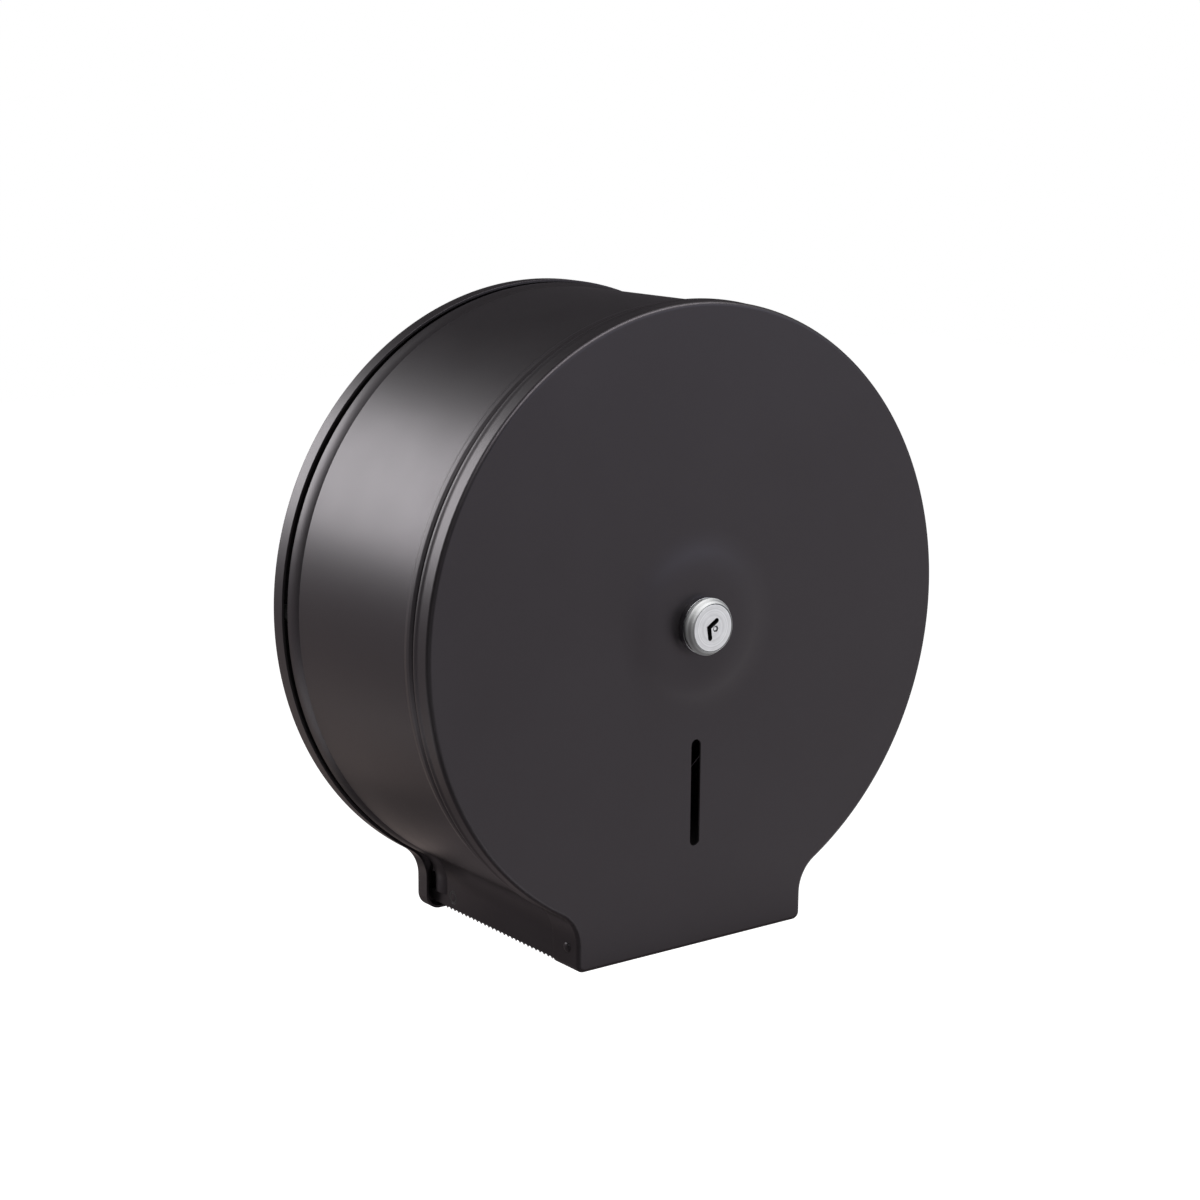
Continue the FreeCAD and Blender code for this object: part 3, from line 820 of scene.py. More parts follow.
class GeometryTree(Nodes):
    """A geometry tree with named sizes that is run once on a piece."""

    def __init__(self, name: str, sizes: dict[str, float | int], finish: Finish) -> None:
        """Makes the tree with its inputs.

        Args:
            name: the tree's name.
            sizes: the named inputs and their values, in metres or counts.
            finish: what the result is finished in.
        """
        super().__init__(bpy.data.node_groups.new(name, "GeometryNodeTree"))
        face = self.tree.interface
        for way in ("INPUT", "OUTPUT"):
            face.new_socket(name="Geometry", in_out=way, socket_type="NodeSocketGeometry")
        self.values: dict[str, object] = {}
        kinds = {float: "NodeSocketFloat", int: "NodeSocketInt"}
        for label, value in [*sizes.items(), ("Finish", finish.material())]:
            kind = kinds.get(type(value), "NodeSocketMaterial")
            made = face.new_socket(name=label, in_out="INPUT", socket_type=kind)
            self.values[made.identifier] = value
        self.entry = self.add("NodeGroupInput").outputs
        self.leave = self.add("NodeGroupOutput")

    def make(self, kind: str, inputs: dict | None = None, output: int | str = 0) -> Socket:
        """One output of a new geometry node."""
        return self.out(f"GeometryNode{kind}", inputs, output)

    def vector(self, x: object, y: object, z: object) -> Socket:
        """A vector from three numbers or sockets."""
        return self.out("ShaderNodeCombineXYZ", {0: x, 1: y, 2: z})

    def place(self) -> Sequence[Socket]:
        """The three parts of a point's place."""
        return self.add("ShaderNodeSeparateXYZ", {0: self.make("InputPosition")}).outputs

    def beyond(self, value: Socket, operation: str) -> Socket:
        """Whether a value is on one side of zero."""
        return self.out("FunctionNodeCompare", {0: value, 1: 0.0}, operation=operation)

    def moved(self, geometry: Socket, shift: object, **turn: object) -> Socket:
        """Geometry moved by a shift, and turned or scaled by the transform's other inputs."""
        return self.make("Transform", {"Geometry": geometry, "Translation": shift, **turn})

    def close(self, *geometry: Socket) -> None:
        """Joins the results, makes them real and sets their finish.

        Args:
            geometry: the results.
        """
        real = self.make("RealizeInstances", {0: self.make("JoinGeometry", {0: list(geometry)})})
        dressed = {"Geometry": real, "Material": self.entry["Finish"]}
        self.feed(self.leave.inputs[0], self.make("SetMaterial", dressed))

    def run(self, piece: Thing) -> Thing:
        """Runs the tree on a piece.

        Args:
            piece: the object.

        Returns:
            The same object with a plain mesh.
        """
        change = piece.modifiers.new(self.tree.name, "NODES")
        change.node_group = self.tree
        for identifier, value in self.values.items():
            change[identifier] = value
        return settled(piece)


class ToothRow(GeometryTree):
    """A row of pointed teeth along the depth, added below the strip that it is run on."""

    tip_share = 0.34

    def __init__(self, pitch: float, height: float, sheet: float, count: int, start: Vector) -> None:
        """Builds the tree.

        Args:
            pitch: distance between teeth.
            height: height of a tooth.
            sheet: thickness at the root, of which the tip keeps a share.
            count: number of teeth.
            start: middle of the first tooth, in metres.
        """
        sizes = {"Pitch": pitch, "Height": height, "Sheet": sheet, "Count": count}
        super().__init__("tooth_row", sizes, BLADE_STEEL)
        size = self.vector(self.entry["Sheet"], self.entry["Pitch"], self.entry["Height"])
        blank = self.make("MeshCube", {"Size": size}, "Mesh")
        x, _, z = self.place()
        tip = self.vector(self.sum("MULTIPLY", x, self.tip_share), 0.0, z)
        ground = {"Geometry": blank, "Selection": self.beyond(z, "LESS_THAN"), "Position": tip}
        tooth = self.make("MergeByDistance", {"Geometry": self.make("SetPosition", ground), "Distance": 1e-6})
        step = self.vector(0.0, self.sum("MULTIPLY", self.entry["Pitch"], -1.0), 0.0)
        line = {"Count": self.entry["Count"], "Start Location": tuple(start), "Offset": step}
        teeth = self.make("InstanceOnPoints", {"Points": self.make("MeshLine", line), "Instance": tooth})
        self.close(self.entry["Geometry"], teeth)


class StudRow(GeometryTree):
    """Round-headed studs on the points that it is run on, each along the point's facing."""

    def __init__(
        self, name: str, head: float, rise: float, shank: float, length: float, finish: Finish
    ) -> None:
        """Builds the tree.

        Args:
            name: the tree's name.
            head: radius of the domed head, in millimetres like the other sizes.
            rise: height of the head.
            shank: radius of the shank.
            length: length of the shank under the head.
            finish: what the studs are finished in.
        """
        sizes = {"Head": head * MM, "Rise": rise * MM, "Shank": shank * MM, "Length": length * MM}
        super().__init__(name, sizes, finish)
        ball = self.make("MeshUVSphere", {"Segments": Facets.RIVET.value, "Rings": 16, "Radius": 1.0}, "Mesh")
        x, y, z = self.place()
        above = self.vector(x, y, self.sum("MAXIMUM", z, 0.0))
        dome = self.make("SetPosition", {"Geometry": ball, "Position": above})
        scale = self.vector(self.entry["Head"], self.entry["Head"], self.entry["Rise"])
        cap = self.moved(dome, (0.0, 0.0, 0.0), Scale=scale)
        round_pin = {"Vertices": Facets.RIVET.value, "Radius": self.entry["Shank"]}
        round_pin["Depth"] = self.entry["Length"]
        down = self.vector(0.0, 0.0, self.sum("MULTIPLY", self.entry["Length"], -0.5))
        pin = self.moved(self.make("MeshCylinder", round_pin, "Mesh"), down)
        stud = self.make("JoinGeometry", {"Geometry": [cap, pin]})
        facing = self.out(
            "GeometryNodeInputNamedAttribute", {"Name": "facing"}, data_type="FLOAT_VECTOR"
        )
        turn = self.out("FunctionNodeAlignRotationToVector", {"Vector": facing}, axis="Z")
        seats = {"Points": self.entry["Geometry"], "Instance": stud, "Rotation": turn}
        self.close(self.make("InstanceOnPoints", seats))

    def piece(self, places: Sequence[tuple[Vector, Vector]]) -> Thing:
        """Makes one piece of several studs, with the tree's name.

        Args:
            places: each stud's seat, in metres, and the way that it faces.

        Returns:
            The piece.
        """
        data = bpy.data.meshes.new(self.tree.name)
        data.from_pydata([tuple(seat) for seat, _ in places], [], [])
        facing = data.attributes.new("facing", "FLOAT_VECTOR", "POINT")
        for row, (_, way) in zip(facing.data, places):
            row.vector = way
        return shaded(self.run(linked(self.tree.name, data)), 40.0)


class RibRing(GeometryTree):
    """Long ribs round the hub that it is run on, each with a sloping front end."""

    slope_share = 0.84

    def __init__(
        self, ribs: int, radius: float, height: float, width: float, length: float, rear: float
    ) -> None:
        """Builds the tree.

        Args:
            ribs: number of ribs.
            radius: radius at the middle of a rib's height.
            height: height of a rib.
            width: width of a rib.
            length: length of a rib at its foot; its top is shorter in front.
            rear: depth of its rear end.
        """
        sizes = {"Ribs": ribs, "Radius": radius, "Height": height, "Width": width, "Length": length}
        super().__init__("rib_ring", sizes, GREY_PLASTIC)
        size = self.vector(self.entry["Width"], self.entry["Length"], self.entry["Height"])
        blank = self.make("MeshCube", {"Size": size}, "Mesh")
        x, y, z = self.place()
        front, top = self.beyond(y, "LESS_THAN"), self.beyond(z, "GREATER_THAN")
        both = self.out("FunctionNodeBooleanMath", {0: front, 1: top}, operation="AND")
        back = self.vector(x, self.sum("MULTIPLY", y, self.slope_share), z)
        rib = self.make("SetPosition", {"Geometry": blank, "Selection": both, "Position": back})
        middle = self.sum("MULTIPLY", self.entry["Length"], -0.5)
        shift = self.vector(0.0, self.sum("SUBTRACT", middle, rear), self.entry["Radius"])
        seat = self.make("MeshLine", {"Count": self.entry["Ribs"], "Offset": (0.0, 0.0, 0.0)})
        part = self.sum("MULTIPLY", self.make("InputIndex"), FULL_TURN)
        turn = self.vector(0.0, self.sum("DIVIDE", part, self.entry["Ribs"]), 0.0)
        seats = {"Points": seat, "Instance": self.moved(rib, shift)}
        seats["Rotation"] = self.out("FunctionNodeEulerToRotation", {0: turn})
        self.close(self.entry["Geometry"], self.make("InstanceOnPoints", seats))


class ScrewThread(GeometryTree):
    """A thread wound on the barrel that it is run on."""

    def __init__(self, radius: float, rise: float, pitch: float, length: float, rear: float) -> None:
        """Builds the tree.

        Args:
            radius: radius at the foot of the thread.
            rise: height of the thread.
            pitch: distance between turns.
            length: threaded length.
            rear: depth of its rear end.
        """
        sizes = {"Radius": radius, "Rise": rise, "Length": length, "Turns": length / pitch}
        super().__init__("screw_thread", sizes, SHADED_HEAD_METAL)
        spiral = {"Resolution": 40, "Rotations": self.entry["Turns"], "Height": self.entry["Length"]}
        for end in ("Start", "End"):
            spiral[f"{end} Radius"] = self.entry["Radius"]
        ridge = self.make("CurvePrimitiveCircle", {"Resolution": 4, "Radius": self.entry["Rise"]})
        wound = {"Curve": self.make("CurveSpiral", spiral), "Profile Curve": ridge, "Fill Caps": True}
        thread = self.make("CurveToMesh", wound)
        forward = self.moved(thread, (0.0, -rear, 0.0), Rotation=(math.pi / 2, 0.0, 0.0))
        self.close(self.entry["Geometry"], forward)


def turned(
    name: str, points: Sequence[Flat], round_off: float, axle: Axle, count: int = Facets.RING
) -> Thing:
    """Makes a round piece from a closed profile.

    Args:
        name: the piece's name.
        points: corners of the profile, as radius and place along the axle.
        round_off: rounding of its corners.
        axle: the line that it is turned about.
        count: facets round it.

    Returns:
        The piece.
    """
    sketch = Sketch()
    sketch.lathe(softened(points, [round_off if r > 0.0 else 0.0 for r, _ in points], 3), axle, count)
    return shaded(sketch.piece(name))


def stepped(inner: float, start: float, *steps: Flat) -> list[Flat]:
    """Profile of a round piece whose radius changes in steps.

    Args:
        inner: radius of its bore, or zero.
        start: where it starts along its axle.
        steps: radius and end of each step.

    Returns:
        Its corners as radius and place along the axle.
    """
    corners = [(inner, start)]
    for radius, end in steps:
        corners += [(radius, corners[-1][1]), (radius, end)]
    return [*corners, (inner, corners[-1][1])]


@dataclass
class CoverShell:
    """The cover: face pan, drum band, tear blades and the rivets between them."""

    outline: Outline = Outline(135.5, 61.5, 142.994, 17.0, 3.5)
    depth: float = 120.0
    sheet: float = 1.0
    edge_round: float = 2.0
    face_edge: float = 0.16
    lip_rear: float = 114.0
    rim_rear: float = 109.6
    tab_rear: float = 101.5
    tab_top: float = -122.494
    tab_start: float = -104.0
    boss_height: float = 2.0
    boss_top: float = 20.0
    boss_foot: float = 42.0
    flare: float = 0.4
    flare_front: float = 113.0
    flare_crest: float = 110.6
    flare_return: float = 0.8
    flare_end: float = 4.0
    flare_fade: float = 20.0
    slot_half: float = 2.5
    slot_top: float = -50.4
    slot_bottom: float = -97.6
    band_inset: float = 1.3
    band_edge: float = 0.12
    groove: tuple[Triple, ...] = (
        (0.2, 118.0, 0.0), (0.2, 109.6, 0.5), (-1.0, 108.7, 0.5), (-1.0, 107.5, 0.8),
        (-0.25, 106.2, 1.6), (0.22, 104.6, 3.0), (0.30, 102.9, 2.5), (0.0, 101.0, 1.2),
    )
    wall_bottom: float = -141.394
    bead_rise: float = 1.2
    bead_rear: float = 10.0
    bead_top: float = 11.9
    bead_front: float = 18.4
    bead_round: float = 0.15
    hem_front: float = 13.4
    heel_rear: float = 4.5
    heel_top: float = -135.994
    heel_front: float = 19.0
    heel_step: float = 11.0
    heel_lap: Flat = (0.5, 0.4)
    cut_inside: float = 3.0
    cut_outside: float = 2.0
    cut_rear: float = 8.0
    cut_front: float = 125.0
    cut_bottom: float = -150.0
    tab_cut_top: float = -139.494
    tab_cut_play: float = 0.1
    hole_reach: float = 5.0
    bush_hole: float = 3.02
    blade_sheet: float = 0.8
    blade_rear: float = 15.0
    blade_front: float = 99.0
    blade_top: float = -130.994
    blade_edge: float = 0.1
    tooth_count: int = 28
    tooth_height: float = 1.6
    rivet_depth: float = 111.8
    rivet_z: float = -132.964
    rivet_head: float = 2.2
    rivet_rise: float = 0.9
    rivet_shank: float = 1.5
    rivet_length: float = 3.0

    def build(self) -> None:
        """Builds and dresses the whole cover."""
        self.face()
        self.band()
        self.rivets()
        for word, side in SIDES.items():
            self.blade(word, side)

    def boss(self) -> list[Flat]:
        """Section of the raised boss, from its foot to the lock's hole.

        Returns:
            Its points as radius and depth.
        """
        run, rise = (self.boss_foot - self.boss_top) / 2, self.boss_height / 2
        bend = (run * run + rise * rise) / self.boss_height
        top = self.depth + self.boss_height
        angles = spread(0.0, math.asin(run / bend), CURVE_STEPS)
        curve = [(bend * math.sin(a), bend * (1 - math.cos(a))) for a in angles]
        lower = [(self.boss_foot - along, self.depth + up) for along, up in curve]
        upper = [(self.boss_top + along, top - up) for along, up in reversed(curve[:-1])]
        return [*lower, *upper, (LOCK_HOLE, top)]

    def slot(self) -> list[Flat]:
        """Outline of the sight slot.

        Returns:
            Its points as x and z.
        """
        half, ends = self.slot_half, ((self.slot_top, 0.0), (self.slot_bottom, math.pi))
        top, bottom = [arc(0.0, z - half * math.cos(a), half, a, math.pi, ROUND_STEPS) for z, a in ends]
        return top + bottom

    def rim_depths(self, place: Station) -> list[float]:
        """Depths of the rim at a place, from its lip back to its edge, which widens into the side tab.

        Args:
            place: the place on the outline.

        Returns:
            The depths.
        """
        share = eased_share((self.tab_start - place.z) / (self.tab_start - self.tab_top))
        rear = self.rim_rear + (self.tab_rear - self.rim_rear) * share
        return spread(self.lip_rear, rear - self.lip_rear, CURVE_STEPS)

    def rim_point(self, place: Station, depth: float) -> Vector:
        """A point of the rim, which flares a little towards its rear edge round the drum.

        Args:
            place: the place on the outline.
            depth: the point's depth.

        Returns:
            The point in metres.
        """
        share = eased_share((place.z - self.tab_top - self.flare_end) / self.flare_fade)
        over = max(0.0, (self.flare_crest - depth) / (self.flare_crest - self.rim_rear))
        rise = eased_share((self.flare_front - depth) / (self.flare_front - self.flare_crest))
        return place.at(depth, -self.flare * (rise - self.flare_return * over * over) * share)

    def face(self) -> None:
        """Makes the pan of the face, with its rounded edge, rim, tabs, boss and slot."""
        sketch = Sketch()
        loop = self.outline.loop(self.tab_top)
        edge = [place.flat(self.edge_round) for place in loop]
        sketch.fill(edge, [circle(self.boss_foot, Facets.BOSS), self.slot()], self.depth)
        axle = Axle()
        angles = spread(0.0, FULL_TURN, Facets.BOSS)[:-1]
        sketch.sheet([[axle.point(r, w, a) for a in angles] for r, w in self.boss()], around=True)
        rows = rolled_edge(loop, self.edge_round, self.depth, -1, 8)
        rows.append([self.rim_point(place, self.lip_rear) for place in loop])
        sketch.sheet(rows, around=True)
        foot = self.outline.half_width - self.outline.corner
        for first, second in zip(loop, loop[1:] + loop[:1]):
            if abs(first.x + second.x) / 2 > foot or first.z > self.tab_top:
                pairs = zip(self.rim_depths(first), self.rim_depths(second))
                sketch.sheet([[self.rim_point(first, a), self.rim_point(second, b)] for a, b in pairs])
        pan = thickened(sketch.piece("face_pan", FRONT), self.sheet)
        carried(shaded(eased(pan, self.face_edge)), Body.COVER, BLACK_PAINT, "cover_face")

    def section(self) -> list[Flat]:
        """Closed section of the band.

        Returns:
            Its points as rise over the plain skin and depth.
        """
        outside = [*self.groove, (0.0, self.bead_front, self.bead_round)]
        run = self.bead_front - self.bead_top
        bend = (run * run + self.bead_rise * self.bead_rise) / (2 * self.bead_rise)
        for angle in reversed(spread(0.0, math.asin(run / bend), CURVE_STEPS)[:-1]):
            rise = self.bead_rise - bend * (1 - math.cos(angle))
            outside.append((rise, self.bead_top + bend * math.sin(angle), 0.0))
        inside = [(rise - self.sheet, depth, r) for rise, depth, r in outside if depth > self.hem_front]
        fold = self.bead_rise - self.sheet
        hem = []
        for angle in spread(0.0, math.pi, ROUND_STEPS):
            depth = self.bead_rear + self.sheet * (1 - math.sin(angle))
            hem.append((fold + self.sheet * math.cos(angle), depth, 0.0))
        corners = [*outside, *hem, (fold - self.sheet, self.hem_front, 0.0), *reversed(inside)]
        return softened([corner[:2] for corner in corners], [corner[2] for corner in corners])

    def band(self) -> None:
        """Makes the drum wall, with its groove, ridge and hemmed bead, and the heels at its ends."""
        sketch = Sketch()
        path = self.outline.inset(self.band_inset).wall_run(self.wall_bottom, self.tab_top)
        section = self.section()
        rows = [[place.at(depth, -rise) for rise, depth in section] for place in path]
        sketch.sheet(rows, around=True)
        sketch.ends(rows)
        band = sketch.piece("drum_band")
        tool, heels = Sketch(), Sketch()
        wall = self.outline.half_width - self.band_inset
        for side in SIDES.values():
            x1, x2 = sorted((side * (wall - self.cut_inside), side * (wall + self.cut_outside)))
            tool.block((x1, self.cut_rear, self.cut_bottom), (x2, self.heel_front, self.heel_top))
            tab_cut = self.tab_rear - self.tab_cut_play
            tool.block((x1, tab_cut, self.cut_bottom), (x2, self.cut_front, self.tab_cut_top))
            profile = stepped(0.0, wall - self.hole_reach, (self.bush_hole, wall + self.hole_reach))
            tool.lathe(profile, Axle(depth=HINGE_DEPTH, z=HINGE_Z, side=side), Facets.SMALL)
            rows = self.heel_rows(*sorted((side * (wall - self.sheet), side * wall)))
            heels.sheet(rows, around=True)
            heels.ends(rows)
        cut(band, tool.piece("band_cutter"))
        cut(band, heels.piece("band_heels"), "UNION")
        band = shaded(eased(flattened(band), self.band_edge), 45.0)
        carried(band, Body.COVER, BLACK_PAINT, "cover_band")

    def heel_rows(self, x1: float, x2: float) -> list[list[Vector]]:
        """Outlines of a heel, the wall's lower rear tab.

        Args:
            x1: place of its one side.
            x2: place of its other side.

        Returns:
            The outlines at its two sides.
        """
        front, top = self.heel_front + self.heel_lap[0], self.heel_top + self.heel_lap[1]
        corners = [
            (self.heel_rear, self.heel_top), (self.heel_rear, self.wall_bottom), (front, self.wall_bottom),
            (front, top), (self.heel_step, top), (self.heel_step, self.heel_top),
        ]
        outline = softened(corners, [1.0, 3.0, 0.0, 0.0, 0.0, 0.0])
        return [[Vector((x, -depth, z)) * MM for depth, z in outline] for x in (x1, x2)]

    def rivets(self) -> None:
        """Makes the rivets through the side tabs."""
        tree = StudRow(
            "tab_rivets", self.rivet_head, self.rivet_rise, self.rivet_shank, self.rivet_length, BLACK_PAINT
        )
        places = []
        for side in SIDES.values():
            seat = Vector((side * self.outline.half_width, -self.rivet_depth, self.rivet_z)) * MM
            places.append((seat, Vector((side, 0.0, 0.0))))
        carried(tree.piece(places), Body.COVER, BLACK_PAINT, "face_rivets")

    def blade(self, word: str, side: int) -> None:
        """Makes one toothed strip inside a side wall.

        Args:
            word: the side's name.
            side: the side.
        """
        outer = [
            (self.blade_rear, self.blade_top), (self.blade_front, self.blade_top),
            (self.blade_front, self.wall_bottom), (self.blade_rear, self.wall_bottom),
        ]
        sketch = Sketch()
        hole = circle(self.bush_hole, Facets.SMALL, HINGE_DEPTH, HINGE_Z)
        sketch.prism(outer, [hole], 0.0, self.blade_sheet)
        near = BLADE_INSIDE if side > 0 else -BLADE_INSIDE - self.blade_sheet
        sketch.mesh.transform(Matrix(((0, -1, 0, near * MM), (-1, 0, 0, 0), (0, 0, 1, 0), (0, 0, 0, 1))))
        strip = eased(flattened(sketch.piece(f"tear_blade_{word}_teeth")), self.blade_edge)
        pitch = (self.blade_front - self.blade_rear) / self.tooth_count
        middle = self.wall_bottom - self.tooth_height / 2
        start = Vector((near + self.blade_sheet / 2, -self.blade_rear - pitch / 2, middle)) * MM
        row = ToothRow(pitch * MM, self.tooth_height * MM, self.blade_sheet * MM, self.tooth_count, start)
        carried(shaded(row.run(strip), 30.0), Body.COVER, BLADE_STEEL, f"tear_blade_{word}")


@dataclass
class BackPan:
    """The back plate with its buffers, and the hinge that carries the cover."""

    outline: Outline = Outline(136.495, 64.5, 145.49, 17.0, 7.0)
    break_z: float = -124.0
    sheet: float = 1.2
    rim: float = 8.0
    edge_round: float = 1.3
    broken_edge: float = 0.18
    screw_hole: float = 3.0
    screw_x: float = 70.0
    screw_z: float = 50.0
    hole_play: float = 0.02
    rivet: float = 1.6
    rivet_head: float = 2.8
    rivet_rise: float = 1.2
    rivet_x: float = 49.4
    rivet_z: Flat = (-135.994, -124.994)
    buffer_radius: float = 3.5
    buffer_circle: float = 131.5
    buffer_front: float = 9.7
    ear_base_front: float = 2.4
    ear_inside: float = 56.4
    ear_edge: float = 0.2
    pin: float = 2.0
    pin_head: float = 3.2
    pin_head_height: float = 1.2
    wall_outside: float = 60.2
    bush: float = 3.0
    bush_play: float = 0.05
    bush_flange: float = 4.5
    bush_flange_height: float = 0.5

    def build(self) -> None:
        """Builds and dresses the back plate and the hinge."""
        self.plate()
        self.buffers()
        self.ear_rivets()
        for word, side in SIDES.items():
            self.hinge(word, side)

    def rivet_places(self) -> list[Flat]:
        """Places of the rivets of both hinge ears."""
        return [(side * self.rivet_x, z) for side in SIDES.values() for z in self.rivet_z]

    def plate(self) -> None:
        """Makes the pan with its rolled edge, rim and holes."""
        sketch = Sketch()
        loop = self.outline.loop(self.break_z)
        corners = [(x * self.screw_x, z * self.screw_z) for x in (1, -1) for z in (1, -1)]
        holes = [circle(self.screw_hole, Facets.SMALL, x, z) for x, z in corners]
        holes += [circle(self.rivet + self.hole_play, Facets.RIVET, x, z) for x, z in self.rivet_places()]
        holes += [circle(SPINDLE_RIVET + self.hole_play, Facets.RIVET, x, z) for x, z in SPINDLE_RIVETS]
        sketch.fill([place.flat(self.edge_round) for place in loop], holes, 0.0)
        rows = rolled_edge(loop, self.edge_round, 0.0, 1, 6)
        rows.append([place.at(self.rim) for place in loop])
        sketch.sheet(rows, around=True)
        pan = thickened(sketch.piece("back_pan", -FRONT), self.sheet)
        carried(shaded(eased(flattened(pan), self.broken_edge)), Body.BACK, BLACK_PAINT, "back_plate")

    def buffers(self) -> None:
        """Makes the rubber stops with softly rounded ends, inside the rim."""
        sketch = Sketch()
        profile = stepped(0.0, self.sheet, (self.buffer_radius, self.buffer_front))
        for degrees in (0.0, 90.0, 180.0):
            angle = math.radians(degrees)
            axle = Axle(self.buffer_circle * math.cos(angle), 0.0, self.buffer_circle * math.sin(angle))
            sketch.lathe(softened(profile, [0.0, 0.4, 0.9, 0.0], 4), axle, Facets.SMALL)
        carried(shaded(sketch.piece("cover_stops")), Body.BACK, BLACK_RUBBER, "cover_buffers")

    def ear_rivets(self) -> None:
        """Makes the rivets that hold the hinge ears."""
        base = self.ear_base_front
        tree = StudRow("ear_rivets", self.rivet_head, self.rivet_rise, self.rivet, base, ZINC_STEEL)
        places = [(Vector((x, -base, z)) * MM, FRONT) for x, z in self.rivet_places()]
        carried(tree.piece(places), Body.BACK, ZINC_STEEL, "hinge_ear_rivets")

    def hinge(self, word: str, side: int) -> None:
        """Makes the ear, the pin with its head inside the ear, and the cover's flanged bush of one side.

        Args:
            word: the side's name.
            side: the side.
        """
        axle = Axle(depth=HINGE_DEPTH, z=HINGE_Z, side=side)
        ear = shaded(eased(copied(f"hinge_ear_{word}", f"hinge_ear_{word}_bent"), self.ear_edge))
        carried(ear, Body.BACK, BLACK_PAINT, f"hinge_ear_{word}")
        head = self.ear_inside - self.pin_head_height
        profile = stepped(0.0, head, (self.pin_head, self.ear_inside), (self.pin, self.wall_outside))
        pin = turned(f"hinge_pin_{word}_turned", profile, 0.05, axle, Facets.SMALL)
        carried(pin, Body.BACK, BLACK_PAINT, f"hinge_pin_{word}")
        bore, start = self.pin + self.bush_play, BLADE_INSIDE - self.bush_flange_height
        profile = stepped(bore, start, (self.bush_flange, BLADE_INSIDE), (self.bush, self.wall_outside))
        bush = turned(f"hinge_bush_{word}_moulded", profile, 0.04, axle, Facets.SCREW)
        carried(bush, Body.COVER, BLACK_NYLON, f"hinge_bush_{word}")


